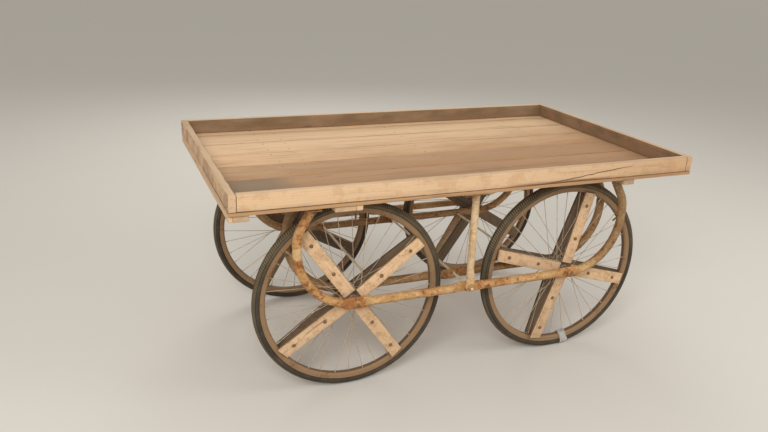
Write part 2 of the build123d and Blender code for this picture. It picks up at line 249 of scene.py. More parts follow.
class Nodes:
    """Adds nodes to a shader or geometry tree and hands back their outputs."""

    def __init__(self, tree):
        self.tree = tree

    def node(self, kind, settings=None, inputs=None, output=0):
        made = self.tree.nodes.new(kind)
        for name, value in (settings or {}).items():
            setattr(made, name, value)
        for name, value in (inputs or {}).items():
            if isinstance(value, Socket):
                self.tree.links.new(value.socket, made.inputs[name])
                continue
            if made.inputs[name].type == "RGBA" and len(value) == 3:
                value = (*value, 1.0)
            made.inputs[name].default_value = value
        return Socket(self, made.outputs[output])


class Finish(Nodes):
    """A material in the making."""

    def __init__(self, name):
        self.material = bpy.data.materials.new(name)
        self.material.use_nodes = True
        super().__init__(self.material.node_tree)
        self.shader = self.tree.nodes["Principled BSDF"]

    def position(self):
        return self.node("ShaderNodeTexCoord", output="Object")

    def facing(self):
        """The way that a face points, which falls on its own axes because no piece is turned."""
        return self.node("ShaderNodeNewGeometry", output="True Normal")

    def attribute(self, name, output="Vector"):
        return self.node("ShaderNodeAttribute", {"attribute_name": name}, output=output)

    def parts(self, vector):
        split = self.node("ShaderNodeSeparateXYZ", inputs={0: vector}).socket.node
        return [Socket(self, socket) for socket in split.outputs]

    def join(self, x, y, z):
        return self.node("ShaderNodeCombineXYZ", inputs={0: x, 1: y, 2: z})

    def noise(self, vector, scale=1.0, detail=3.0, roughness=0.55):
        values = {"Vector": vector, "Scale": scale, "Detail": detail, "Roughness": roughness}
        return self.node("ShaderNodeTexNoise", {"noise_dimensions": "3D"}, values)

    def near(self, vector, point, radius):
        """1 at a point, falling to 0 at the radius."""
        settings = {"operation": "DISTANCE"}
        apart = self.node("ShaderNodeVectorMath", settings, {0: vector, 1: point}, "Value")
        return 1.0 - apart.between(radius * 0.35, radius)

    def mix(self, factor, first, second, blend="MIX"):
        settings = {"data_type": "RGBA", "blend_type": blend}
        return self.node("ShaderNodeMix", settings, {0: factor, 6: first, 7: second}, 2)

    def done(self, base, roughness, height=None, depth=0.001, strength=0.6, metallic=0.0):
        """Feeds the shader and hands back the material."""
        feeds = {"Base Color": base, "Roughness": roughness, "Metallic": metallic}
        if height is not None:
            values = {"Strength": strength, "Distance": depth, "Height": height}
            feeds["Normal"] = self.node("ShaderNodeBump", inputs=values)
        for name, value in feeds.items():
            if isinstance(value, Socket):
                self.tree.links.new(value.socket, self.shader.inputs[name])
            else:
                self.shader.inputs[name].default_value = value
        return self.material


def geometry_tree(name, sockets):
    """A geometry tree with named inputs, from rows of name, socket type and default."""
    tree = bpy.data.node_groups.new(name, "GeometryNodeTree")
    tree.interface.new_socket("Geometry", in_out="INPUT", socket_type="NodeSocketGeometry")
    for label, kind, default in sockets:
        item = tree.interface.new_socket(label, in_out="INPUT", socket_type=kind)
        if default is not None:
            item.default_value = default
    tree.interface.new_socket("Geometry", in_out="OUTPUT", socket_type="NodeSocketGeometry")
    nodes = Nodes(tree)
    entry = tree.nodes.new("NodeGroupInput")
    return nodes, {socket.name: Socket(nodes, socket) for socket in entry.outputs if socket.name}


def close_tree(nodes, geometries, material):
    """Joins the geometries, makes their instances real and paints them."""
    joined = nodes.tree.nodes.new("GeometryNodeJoinGeometry")
    for geometry in geometries:
        nodes.tree.links.new(geometry.socket, joined.inputs[0])
    real = nodes.node("GeometryNodeRealizeInstances", inputs={0: Socket(nodes, joined.outputs[0])})
    painted = nodes.node("GeometryNodeSetMaterial", inputs={"Geometry": real, "Material": material})
    end = nodes.tree.nodes.new("NodeGroupOutput")
    nodes.tree.links.new(painted.socket, end.inputs[0])
    return nodes.tree


def set_pieces(nodes, piece, inputs):
    """Sets an object on points."""
    shown = nodes.node("GeometryNodeObjectInfo", inputs={"Object": piece}, output="Geometry")
    return nodes.node("GeometryNodeInstanceOnPoints", inputs={"Instance": shown, **inputs})


def random_number(nodes, low, high, seed):
    """A random number for each point."""
    return nodes.node(
        "FunctionNodeRandomValue", {"data_type": "FLOAT"}, {2: low, 3: high, "Seed": seed}, 1
    )


def ring_array_tree():
    """Repeats a piece in a ring round an axle that runs across the cart."""
    nodes, given = geometry_tree("Ring Array", (
        ("Piece", "NodeSocketObject", None),
        ("Count", "NodeSocketInt", 36),
        ("Centre", "NodeSocketVector", None),
        ("Material", "NodeSocketMaterial", None),
    ))
    count = given["Count"]
    points = nodes.node("GeometryNodePoints", inputs={"Count": count, "Position": given["Centre"]})
    index = nodes.node("GeometryNodeInputIndex")
    spin = nodes.node("ShaderNodeCombineXYZ", inputs={1: index * count.math("DIVIDE", math.tau, count)})
    ring = set_pieces(nodes, given["Piece"], {"Points": points, "Rotation": spin})
    return close_tree(nodes, (given["Geometry"], ring), given["Material"])


def set_on_points_tree():
    """Sets a piece on every point, facing the way the point's attribute says and turned at random."""
    nodes, given = geometry_tree("Set On Points", (
        ("Piece", "NodeSocketObject", None),
        ("Seed", "NodeSocketInt", 1),
        ("Size Spread", "NodeSocketFloat", 0.05),
        ("Material", "NodeSocketMaterial", None),
    ))
    facing = nodes.node(
        "GeometryNodeInputNamedAttribute", {"data_type": "FLOAT_VECTOR"}, {"Name": "facing"}
    )
    turn = random_number(nodes, 0.0, math.tau, given["Seed"])
    spun = nodes.node(
        "FunctionNodeAxisAngleToRotation", inputs={"Axis": (0.0, 0.0, 1.0), "Angle": turn}
    )
    aimed = nodes.node(
        "FunctionNodeAlignRotationToVector", {"axis": "Z"}, {"Rotation": spun, "Vector": facing}
    )
    spread = given["Size Spread"]
    size = random_number(nodes, 1.0 - spread, 1.0 + spread, given["Seed"])
    placed = set_pieces(nodes, given["Piece"], {
        "Points": given["Geometry"], "Rotation": aimed, "Scale": size,
    })
    return close_tree(nodes, (placed,), given["Material"])


def bead_run_tree():
    """Lays overlapping weld beads along a line."""
    nodes, given = geometry_tree("Bead Run", (
        ("Bead", "NodeSocketObject", None),
        ("Spacing", "NodeSocketFloat", 0.0028),
        ("Seed", "NodeSocketInt", 1),
        ("Material", "NodeSocketMaterial", None),
    ))
    line = nodes.node("GeometryNodeMeshToCurve", inputs={0: given["Geometry"]})
    points = nodes.node(
        "GeometryNodeResampleCurve", {"mode": "LENGTH"}, {"Curve": line, "Length": given["Spacing"]}
    )
    turn = nodes.node(
        "FunctionNodeRandomValue", {"data_type": "FLOAT_VECTOR"},
        {0: (0.0, 0.0, 0.0), 1: (0.6, 0.6, 6.28), "Seed": given["Seed"]},
    )
    size = random_number(nodes, 0.8, 1.2, given["Seed"])
    placed = set_pieces(nodes, given["Bead"], {"Points": points, "Rotation": turn, "Scale": size})
    return close_tree(nodes, (placed,), given["Material"])


# Shapes


def rough(points, size, seed):
    """Smooth noise from -1 to 1 at each point, with lumps about as large as size."""
    places = np.asarray(points, float) / size
    cell = np.floor(places).astype(np.int64)
    part = places - cell
    part = part * part * (3.0 - 2.0 * part)
    total = np.zeros(len(places))
    for corner in np.ndindex(2, 2, 2):
        x, y, z = (cell + corner).T
        number = (x * 73856093) ^ (y * 19349663) ^ (z * 83492791) ^ (seed * 40503)
        number = ((number & 0xFFFFFFFF) * 1274126177) & 0xFFFFFFFF
        number = ((number ^ (number >> 15)) * 2246822519) & 0xFFFFFFFF
        weight = np.prod(np.where(corner, part, 1.0 - part), axis=1)
        total += weight * ((number >> 8) / 8388607.5 - 1.0)
    return total


def fan_volume(ring):
    """Six times the volume between the origin and a fan of triangles."""
    return float(np.sum(np.cross(ring[1:-1] - ring[0], ring[2:] - ring[0]) @ ring[0]))


def loft(rings, closed=False):
    """Points and outward faces of a skin over rings, capped at its ends or joined to itself."""
    rings = np.asarray(rings, float)
    count, around = rings.shape[:2]
    points = rings.reshape(-1, 3)
    index = np.arange(count * around).reshape(count, around)
    low = index if closed else index[:-1]
    high = np.roll(index, -1, axis=0) if closed else index[1:]
    quads = np.stack((low, np.roll(low, -1, axis=1), np.roll(high, -1, axis=1), high), axis=2)
    faces = [tuple(face) for face in quads.reshape(-1, 4).tolist()]
    if not closed:
        faces.append(tuple(index[0][::-1].tolist()))
        faces.append(tuple(index[-1].tolist()))
    middle = points.mean(axis=0)
    if sum(fan_volume(points[list(face)] - middle) for face in faces) < 0:
        faces = [face[::-1] for face in faces]
    return points, faces


def turned(profile, segments, centre=(0, 0, 0), axis=(0, 0, 1)):
    """A lathe shape from rows of distance along the axis and radius."""
    axis = Vector(axis).normalized()
    side = axis.orthogonal().normalized()
    other = axis.cross(side)
    angles = np.arange(segments) * math.tau / segments
    circle = np.outer(np.cos(angles), side) + np.outer(np.sin(angles), other)
    centre, axis = np.asarray(centre), np.asarray(axis)
    return loft([centre + axis * along + circle * radius for along, radius in profile])


def hoop(profile, hub, segments):
    """A closed ring round a wheel's axle from rows of sideways place and radius."""
    profile = np.asarray(profile, float)
    angles = np.arange(segments) * math.tau / segments
    rings = [
        np.asarray(hub) + np.column_stack((
            profile[:, 1] * math.cos(angle), profile[:, 0], profile[:, 1] * math.sin(angle),
        ))
        for angle in angles
    ]
    return loft(rings, closed=True)


def polygon_ring(across_flats, corners, points_each, rounding):
    """A ring of a regular polygon whose corners a cone has turned off to the given radius."""
    angles = np.arange(corners * points_each) * math.tau / (corners * points_each)
    from_flat = (angles + math.pi / corners) % (math.tau / corners) - math.pi / corners
    radius = np.minimum(across_flats / 2 / np.cos(from_flat), rounding)
    return np.column_stack((radius * np.cos(angles), radius * np.sin(angles), np.zeros(len(angles))))


def hex_nut(across_flats, height):
    """A hexagon whose corners are turned off above and below, standing on the XY plane."""
    corner = across_flats / 2 / math.cos(math.pi / 6)
    rings = [
        polygon_ring(across_flats, 6, 4, rounding) + (0, 0, level)
        for level, rounding in (
            (0.0, across_flats * 0.49),
            (height * 0.14, corner),
            (height * 0.86, corner),
            (height, across_flats * 0.49),
        )
    ]
    return loft(rings)


def rounded_slab(centre, size, corner, arris):
    """A flat plate with rounded corners and softened edges."""
    half_x, half_y, half_z = (part / 2 for part in size)
    angles = np.repeat(np.arange(4), 5) * math.pi / 2 + np.tile(np.linspace(0, math.pi / 2, 5), 4)
    signs = np.repeat(((1, 1), (-1, 1), (-1, -1), (1, -1)), 5, axis=0)
    rings = []
    for inset, level in ((arris, -half_z), (0, arris - half_z), (0, half_z - arris), (arris, half_z)):
        outline = signs * (half_x - corner, half_y - corner)
        outline = outline + np.column_stack((np.cos(angles), np.sin(angles))) * (corner - inset)
        rings.append(np.column_stack((outline, np.full(len(outline), level))) + np.asarray(centre))
    return loft(rings)


def arc_through(start, middle, end, count):
    """Points along the arc through three points of a plane."""
    (ax, ay), (bx, by), (cx, cy) = start, middle, end
    turn = 2 * (ax * (by - cy) + bx * (cy - ay) + cx * (ay - by))
    squares = (ax * ax + ay * ay, bx * bx + by * by, cx * cx + cy * cy)
    ux = (squares[0] * (by - cy) + squares[1] * (cy - ay) + squares[2] * (ay - by)) / turn
    uy = (squares[0] * (cx - bx) + squares[1] * (ax - cx) + squares[2] * (bx - ax)) / turn
    radius = math.hypot(ax - ux, ay - uy)
    first, half, last = (math.atan2(y - uy, x - ux) for x, y in (start, middle, end))
    if not min(first, last) < half < max(first, last):
        last += math.tau if last < first else -math.tau
    angles = np.linspace(first, last, count)
    return np.column_stack((ux + radius * np.cos(angles), uy + radius * np.sin(angles)))


def wire(path, radius, sides=6):
    """A round wire along a line of points."""
    path = np.asarray(path, float)
    run = np.gradient(path, axis=0)
    run /= np.linalg.norm(run, axis=1)[:, None]
    side = np.asarray(Vector(run[0]).orthogonal().normalized())
    angles = np.arange(sides) * math.tau / sides
    rings = []
    for point, along in zip(path, run):
        side = side - along * (side @ along)
        side /= np.linalg.norm(side)
        circle = np.outer(np.cos(angles), side) + np.outer(np.sin(angles), np.cross(along, side))
        rings.append(point + radius * circle)
    return loft(rings)


class Shape:
    """Closed shells gathered into one mesh, with the values that the materials read."""

    def __init__(self):
        self.points = []
        self.faces = []
        self.grain = []
        self.worn = []
        self.tone = []

    def add(self, shell, grain=None, worn=0.0, tone=0.0):
        points, faces = shell
        start = len(self.points)
        self.points.extend(np.asarray(points).tolist())
        self.faces.extend(tuple(start + index for index in face) for face in faces)
        self.grain.extend(np.asarray(points if grain is None else grain, float).tolist())
        for held, value in ((self.worn, worn), (self.tone, tone)):
            held.extend(np.broadcast_to(np.asarray(value, float), len(points)).tolist())
        return self

    def mesh(self, name, crease=35.0):
        mesh = bpy.data.meshes.new(name)
        mesh.from_pydata(self.points, [], self.faces)
        grain = mesh.attributes.new("grain", "FLOAT_VECTOR", "POINT")
        grain.data.foreach_set("vector", np.ravel(self.grain))
        for label, values in (("worn", self.worn), ("tone", self.tone)):
            mesh.attributes.new(label, "FLOAT", "POINT").data.foreach_set("value", values)
        mesh.shade_smooth()
        mesh.set_sharp_from_angle(angle=math.radians(crease))
        return mesh


def timber(shape, frame_matrix, size, seed, settings, wane=None, skew=0.0):
    """Adds a sawn board whose length is local X and whose thickness rises from local Z = 0.

    The wane is a corner's number and how much deeper that edge is worn at the start and the end.
    """
    board_length, width, thickness = size
    arris = settings.arris
    steps = max(6, round(board_length / 0.028))
    stations = np.concatenate(((0.0, arris), np.linspace(0, board_length, steps + 1)[1:-1],
                               (board_length - arris, board_length)))
    share = stations / board_length
    corner_y = np.array((-1, 1, 1, -1)) * width / 2
    corner_z = np.array((0, 0, 1, 1)) * thickness
    quarter = np.linspace(0, math.pi / 2, 3)
    columns = []
    worn = []
    for corner in range(4):
        line = np.column_stack((stations, np.full((len(stations), 2), corner * 3.7 + seed)))
        deep = np.clip(rough(line, 0.11, seed) + 0.6 * rough(line, 0.03, seed + 5), 0, 1.3)
        radius = arris + settings.wear * deep * min(1.0, thickness / 0.014)
        if wane and wane[0] == corner:
            rising = wane[1] + (wane[2] - wane[1]) * share
            radius = radius + rising * (0.55 + 0.45 * rough(line, 0.07, seed + 9))
        radius = np.clip(radius, 0.0004, min(width, thickness) * 0.45)
        inward_y = -np.sign(corner_y[corner])
        inward_z = 1.0 if corner_z[corner] == 0 else -1.0
        sweep = quarter if corner in (0, 2) else quarter[::-1]
        for angle in sweep:
            out_y = corner_y[corner] + inward_y * radius * (1 - math.cos(angle))
            out_z = corner_z[corner] + inward_z * radius * (1 - math.sin(angle))
            columns.append(np.column_stack((stations, out_y, out_z)))
            worn.append(np.clip(0.25 + deep * 0.75, 0, 1) * (1.0 if 0 < angle < 1.5 else 0.55))
        follower = (corner + 1) % 4
        for part in (1 / 3, 2 / 3) if corner in (0, 2) else (0.5,):
            between_y = corner_y[corner] + (corner_y[follower] - corner_y[corner]) * part
            between_z = corner_z[corner] + (corner_z[follower] - corner_z[corner]) * part
            columns.append(np.column_stack((
                stations, np.full(len(stations), between_y), np.full(len(stations), between_z),
            )))
            worn.append(np.zeros(len(stations)))
    rings = np.stack(columns, axis=1)
    worn = np.stack(worn, axis=1)

    # The ends are softened, cut askew and never wider than the board
    middle = np.array((0.0, 0.0, thickness / 2))
    for end in (0, -1):
        offset = rings[end] - middle
        offset[:, 1] *= 1 - 1.6 * arris / width
        offset[:, 2] *= 1 - 1.6 * arris / thickness
        rings[end, :, 1:] = (offset + middle)[:, 1:]
        worn[end] = np.maximum(worn[end], 0.5)
    rings[:, :, 0] -= skew * share[:, None] ** 3 * (0.5 + rings[:, :, 1] / width)
    flat = rings.reshape(-1, 3)
    hollow = 0.0005 * (rough(flat, 0.16, seed + 3) - 1.0)
    rings[:, :, 2] -= (hollow * np.sign(flat[:, 2] - thickness / 2) * -1).reshape(rings.shape[:2])

    points, faces = loft(rings)
    heart_depth = 0.06
    heart = np.array((seed * 3.31, ((seed * 37) % 11 - 5) * 0.012, -heart_depth))
    matrix = np.array(frame_matrix)
    world = points @ matrix[:3, :3].T + matrix[:3, 3]
    tone = ((seed * 53) % 17) / 8.0 - 1.0
    shape.add((world, faces), grain=points + heart, worn=worn.reshape(-1), tone=tone)
    return shape


def board_frame(corner, along, across):
    """The matrix of a board from the middle of one end of its lower face."""
    along = Vector(along).normalized()
    across = Vector(across).normalized()
    matrix = Matrix((along, across, along.cross(across))).transposed().to_4x4()
    matrix.translation = corner
    return matrix


def bent_pipe(rows, placed, sides=28, level_start=False):
    """Skin of a bent and squeezed pipe.

    Each row holds the reach, the height, the sideways shift, half the thickness, half the height
    and how rusty it is; placed turns reach, sideways shift and height into the cart's frame.
    """
    rows = np.asarray(rows, float)
    run = np.gradient(rows[:, :2], axis=0)
    run /= np.linalg.norm(run, axis=1)[:, None]
    normal = np.column_stack((-run[:, 1], run[:, 0]))
    if level_start:
        normal[0] = (np.sign(normal[0, 0]) / abs(run[0, 1]), 0.0)
    angles = (np.arange(sides) + 0.5) * math.tau / sides
    rings = []
    for row, way in zip(rows, normal):
        thin, tall = row[3:5]
        sideways = row[2] + thin * np.cos(angles)
        upright = np.sign(np.sin(angles)) * (tall - thin) + thin * np.sin(angles)
        rings.append(placed(row[0] + way[0] * upright, sideways, row[1] + way[1] * upright))
    points, faces = loft(rings)
    steps = np.linalg.norm(np.diff(rows[:, :2], axis=0), axis=1)
    distance = np.concatenate(((0.0,), np.cumsum(steps)))
    wrapped = np.tile(np.column_stack((np.cos(angles), np.sin(angles))), (len(rows), 1)) * GRAIN_RADIUS
    grain = np.column_stack((np.repeat(distance, sides), wrapped))
    return points, faces, grain, np.repeat(rows[:, 5], sides)


def round_end(centre, tall, thin, count=6):
    """Rows of distance and half height for the rounded end of a flat lug, past its hole's centre."""
    turn = np.linspace(0, math.acos(thin / tall), count)
    return [(centre - tall * math.sin(angle), tall * math.cos(angle)) for angle in turn]


def place(name, mesh, body, material=None, replaced=()):
    """Links a finished mesh as a piece that rides on a body."""
    piece = bpy.data.objects.new(name, mesh)
    bpy.context.scene.collection.objects.link(piece)
    if material is not None:
        mesh.materials.clear()
        mesh.materials.append(material)
    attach(piece, body)
    if replaced:
        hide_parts(*replaced)
    return piece


def model_piece(name, shape, crease=35.0):
    """An object that a tree repeats. It never joins the scene and is removed after use."""
    return bpy.data.objects.new(name, shape.mesh(name, crease))


def bake(carrier):
    """The plain mesh that an object's modifiers make. The object is removed."""
    bpy.context.scene.collection.objects.link(carrier)
    bpy.context.view_layer.update()
    graph = bpy.context.evaluated_depsgraph_get()
    made = bpy.data.meshes.new_from_object(carrier.evaluated_get(graph))
    bpy.data.objects.remove(carrier)
    return made


def grown(name, mesh, tree, values):
    """The plain mesh that a tree makes from a mesh."""
    carrier = bpy.data.objects.new(name, mesh)
    modifier = carrier.modifiers.new("Tree", "NODES")
    modifier.node_group = tree
    for item in tree.interface.items_tree:
        if item.in_out == "INPUT" and item.name in values:
            modifier[item.identifier] = values[item.name]
    made = bake(carrier)
    made.name = name
    return made


def point_mesh(name, points, facings):
    """Loose points that a tree sets pieces on."""
    mesh = bpy.data.meshes.new(name)
    mesh.from_pydata([tuple(point) for point in points], [], [])
    facing = mesh.attributes.new("facing", "FLOAT_VECTOR", "POINT")
    facing.data.foreach_set("vector", np.ravel([tuple(way) for way in facings]))
    return mesh


def ring_line(name, circles):
    """Closed lines of points for a tree to follow."""
    mesh = bpy.data.meshes.new(name)
    points = []
    edges = []
    for circle in circles:
        start = len(points)
        points.extend(tuple(point) for point in circle)
        edges.extend((start + i, start + (i + 1) % len(circle)) for i in range(len(circle)))
    mesh.from_pydata(points, edges, [])
    return mesh


# Finishes


made_finishes = {}


def finish(name):
    """The material of that name, made when it is first asked for."""
    if name not in made_finishes:
        made_finishes[name] = FINISHES[name](bpy.context.scene.hand_cart)
    return made_finishes[name]


def timber_finish(name, streak, greying, dirt=None, lift=1.0, ring_share=0.2):
    """Solid weathered wood with rings, fibres, stains, cracks and worn edges."""
    def build(settings):
        wood = settings.timber
        made = Finish(name)
        along, across, through = made.parts(made.attribute("grain"))
        worn = made.attribute("worn", "Fac")
        tone = made.attribute("tone", "Fac")
        wobble = made.noise(made.join(along * 2.2, across * 9.0, through * 9.0), 1.0, 2.0)
        heart = (across * across + through * through) ** 0.5 + wobble * 0.016
        rings = (heart * 760.0).sine() * 0.5 + 0.5
        fibre = made.noise(made.join(along * 16.0, across * 520.0, through * 520.0), 1.0, 4.0, 0.7)
        streaks = made.noise(made.join(along * 2.4, across * 70.0, through * 70.0), 1.0, 4.0, 0.6)
        blotch = made.noise(made.join(along * 5.0, across * 15.0, through * 15.0), 1.0, 4.0, 0.6)
        crack = made.noise(made.join(along * 5.5, across * 210.0, through * 210.0), 1.0, 3.0, 0.5)
        crack = crack.between(0.685, 0.73) * blotch.between(0.42, 0.62)
        base = made.mix(rings * ring_share + fibre * 0.45, wood.pale, wood.warm)
        base = made.mix(streaks.between(0.52, 0.74) * streak, base, wood.brown)
        base = made.mix(blotch.between(0.40, 0.72) * greying + worn * 0.22, base, wood.grey)
        # The dirt function adds stains and some painted shade.
        if dirt is not None:
            base = dirt(made, base, blotch, streaks, fibre)
        base = made.mix(crack * 0.85, base, tint(58, 42, 30))
        # lift darkens or brightens the whole timber; the inside battens' low lift is painted shade.
        shade = (tone * 0.09 + (fibre - 0.5) * 0.5 + (blotch - 0.5) * 0.35 + 1.0) * lift
        base = made.mix(1.0, base, shade, "MULTIPLY")
        height = fibre * 0.5 + rings * 0.22 + blotch * 0.4 - crack * 1.3
        return made.done(base, 0.74 + fibre * 0.22, height, depth=0.0011, strength=0.75)
    return build


def board_stains_and_shade(made, base, blotch, streaks, fibre):
    """Weather stains on the rim boards, browner inner faces that are partly painted shade, and dark
    joints.
    """
    place_on = made.position()
    x, y, z = made.parts(place_on)
    facing_x, facing_y, _ = made.parts(made.facing())
    front = 1.0 - y.between(FRONT_FACE + 0.001, FRONT_FACE + 0.015)
    mottled = made.noise(place_on, 24.0, 4.0, 0.6)
    base = made.mix(front * mottled.between(0.48, 0.62) * 0.28, base, tint(176, 130, 86))
    base = made.mix(front * x.between(0.1, 0.9) * 0.36, base, tint(166, 120, 76))
    # The tray's inner faces are browner: partly darker weathered wood, partly painted shade.
    inner = 1.0 - (facing_x * x + facing_y * y).between(-0.30, -0.05)
    base = made.mix(inner * (blotch.between(0.2, 0.7) * 0.22 + 0.68), base, tint(92, 68, 42))
    left = 1.0 - facing_x.between(-0.9, -0.6)
    patches = made.noise(place_on, 11.0, 4.0, 0.62).between(0.42, 0.60)
    base = made.mix(left * patches * 0.55, base, tint(146, 106, 76))
    low = 1.0 - z.between(DECK_TOP + 0.002, DECK_TOP + 0.024)
    low = low * (streaks + blotch).between(0.80, 1.25)
    base = made.mix(low * 0.5, base, tint(150, 112, 76))
    base = made.mix(joint_line(z, mottled) * 0.8, base, tint(118, 80, 46))
    corner = (x * x) ** 0.5 - CORNER_JOINT
    corner = 1.0 - (corner * corner).between(0.0005 ** 2, 0.0016 ** 2)
    base = made.mix(corner * (1.0 - facing_y.between(-0.9, -0.6)) * 0.7, base, tint(104, 72, 46))

    # A long split towards the right end of the front board
    rise = z - SPLIT_LEVEL - (x - SPLIT_START) * SPLIT_SLOPE + (mottled - 0.5) * 0.012
    split = rise.between(-0.0032, -0.0008) * (1.0 - rise.between(0.0008, 0.0030))
    split = split * x.between(SPLIT_START, SPLIT_START + 0.06) * (1.0 - x.between(0.52, 0.66))
    split = split * front
    base = made.mix(split * 0.9, base, tint(98, 66, 38))
    smear = (1.0 - z.between(DECK_TOP + 0.002, DECK_TOP + 0.012)) * x.between(0.02, 0.2)
    smear = smear * (1.0 - x.between(0.38, 0.6)) * front * streaks.between(0.30, 0.45)
    base = made.mix(smear * 0.85, base, tint(112, 74, 42))
    top = z.between(DECK_TOP + 0.0535, DECK_TOP + 0.056) * (blotch + fibre).between(0.75, 1.2)
    return made.mix(top * 0.4, base, tint(150, 128, 102))


def joint_line(z, blotch):
    """The dark stain in the joint between the deck and the rim boards."""
    low = z.between(DECK_TOP - 0.0024, DECK_TOP - 0.0010)
    high = z.between(DECK_TOP + 0.0012, DECK_TOP + 0.0028)
    return low * (1.0 - high) * (blotch.between(0.38, 0.54) * 0.75 + 0.25)


def batten_specks_and_shade(made, base, *_):
    """Brown specks on the battens' faces, and painted shade on their sawn edges."""
    place_on = made.position()
    mottled = made.noise(place_on, 38.0, 4.0, 0.62)
    base = made.mix(mottled.between(0.44, 0.64) * 0.38, base, tint(164, 126, 78))
    specks = made.noise(place_on, 140.0, 3.0, 0.6).between(0.55, 0.64) * mottled.between(0.42, 0.56)
    base = made.mix(specks * 0.42, base, tint(118, 80, 44))
    # Faces that don't point across the cart, the sawn edges, get painted shade.
    across = made.parts(made.facing())[1]
    edge = 1.0 - (across * across).between(0.3, 0.7)
    return made.mix(edge * 0.72, base, tint(98, 70, 46))


def deck_wear_and_shade(made, base, blotch, streaks, fibre):
    """Cream planks at the back, browner nearer the front partly as painted shadow, grey in the front left
    corner, and lit and shaded sawn sides.
    """
    x, y, z = made.parts(made.position())
    # Browner and darker towards the front: partly worn stain, partly painted shadow.
    forward_wear_and_shade = (y * -1.0 + blotch * 0.4 + x * 0.12).between(-0.16, 0.36)
    base = made.mix(forward_wear_and_shade * 0.72, base, tint(134, 92, 52))
    front = (y * -1.0 + blotch * 0.3 + streaks * 0.15).between(0.40, 0.66)
    base = made.mix(front * 0.55, base, tint(98, 74, 50))
    corner = (1.0 - y.between(-0.200, -0.196)) * (1.0 - x.between(-0.70, -0.58))
    base = made.mix(corner * 0.75, base, made.mix(fibre, tint(92, 77, 58), tint(128, 110, 86)))
    facing_x, _, facing_z = made.parts(made.facing())
    side = 1.0 - (facing_z * facing_z).between(0.2, 0.6)
    # Sawn sides facing left are paler and the others browner: painted light and painted shade.
    sawn = made.mix(facing_x.between(-0.9, -0.6), tint(206, 172, 136), tint(178, 138, 98))
    sawn = made.mix(streaks.between(0.4, 0.7) * 0.6, sawn, tint(140, 102, 68))
    base = made.mix(side * 0.85, base, sawn)
    return made.mix(side * joint_line(z, blotch) * 0.8, base, tint(118, 80, 46))


def pipe_finish(name, paint, rust_share, marks=(), lift=1.0, dark_end=None):
    """Old chalky paint that flakes off dark and bright rust, browner underneath as painted shade, with
    pale spots that are partly painted highlights.
    """
    def build(settings):
        pipe = settings.pipe
        made = Finish(name)
        place_on = made.position()
        worn = made.attribute("worn", "Fac")
        patches = made.noise(place_on, 13.0, 4.0, 0.6)
        spots = made.noise(place_on, 80.0, 4.0, 0.62)
        fine = made.noise(place_on, 420.0, 3.0, 0.6)
        grime = made.noise(place_on, 34.0, 4.0, 0.6)
        amount = patches * 0.55 + spots * 0.50 + worn * 0.14 + rust_share
        for point, radius, more in marks:
            amount = amount + made.near(place_on, point, radius) * more
        rusty = amount.between(0.62, 0.73)
        stained = amount.between(0.46, 0.62)
        # Faces that point down turn browner: painted shade, mottled by the grime noise.
        underside_shade = 1.0 - made.parts(made.facing())[2].between(-0.85, 0.1)
        coat = made.mix(grime.between(0.35, 0.7) * 0.5, getattr(pipe, paint), tint(172, 134, 86))
        coat = made.mix(stained * 0.75, coat, tint(176, 122, 62))
        rust = made.mix(spots.between(0.52, 0.68), pipe.rust, pipe.dark_rust)
        base = made.mix(rusty * 0.9, coat, rust)
        base = made.mix(underside_shade * grime.between(0.3, 0.6) * 0.6, base, tint(124, 86, 50))
        dirty = grime.between(0.60, 0.70) * spots.between(0.48, 0.58)
        base = made.mix(dirty * 0.6, base, tint(96, 66, 40))
        pits = made.noise(place_on, 210.0, 3.0, 0.6).between(0.58, 0.68)
        base = made.mix(pits * 0.55, base, tint(92, 62, 36))
        # Pale cream spots: chalky paint, partly painted highlights.
        chalk_and_glints = made.noise(place_on, 95.0, 3.0, 0.6).between(0.56, 0.66) * (1.0 - rusty)
        base = made.mix(chalk_and_glints * 0.4, base, tint(226, 198, 156))
        shade = ((fine - 0.5) * 0.3 + 1.0) * lift
        # Towards the right end the colour is darkened: painted shade, partly dark rust.
        if dark_end:
            shade = shade * (1.0 - made.parts(place_on)[0].between(*dark_end) * 0.45)
        base = made.mix(1.0, base, shade, "MULTIPLY")
        height = fine * 0.3 + spots * 0.4 - rusty * 0.4 + rusty * fine * 0.8
        return made.done(base, 0.52 + rusty * 0.3 + fine * 0.1, height, depth=0.0007, strength=0.6)
    return build


def rim_finish(settings):
    """Old paint with rust, and painted shade on the well between the rim's edges."""
    wheel = settings.wheel
    made = Finish("rim_worn_paint")
    place_on = made.position()
    patches = made.noise(place_on, 16.0, 4.0, 0.6)
    spots = made.noise(place_on, 120.0, 5.0, 0.65)
    fine = made.noise(place_on, 500.0, 3.0, 0.6)
    rusty = (patches * 0.7 + spots * 0.4).between(0.58, 0.74)
    rust = made.mix(spots.between(0.42, 0.65), tint(130, 88, 50), tint(90, 60, 38))
    base = made.mix(rusty * 0.8, made.mix(fine, wheel.rim, tint(128, 100, 70)), rust)
    # The middle of the rim, between its edges, is darkened: painted shade.
    sideways = made.parts(place_on)[1]
    sideways = (sideways * sideways) ** 0.5 - HALF_TRACK
    well = 1.0 - (sideways * sideways).between(0.0060 ** 2, 0.0088 ** 2)
    base = made.mix(well * 0.7, base, tint(78, 56, 38))
    height = spots * 0.4 - rusty * 0.3 + fine * 0.2
    return made.done(base, 0.62 + rusty * 0.22, height, depth=0.0007, strength=0.55)


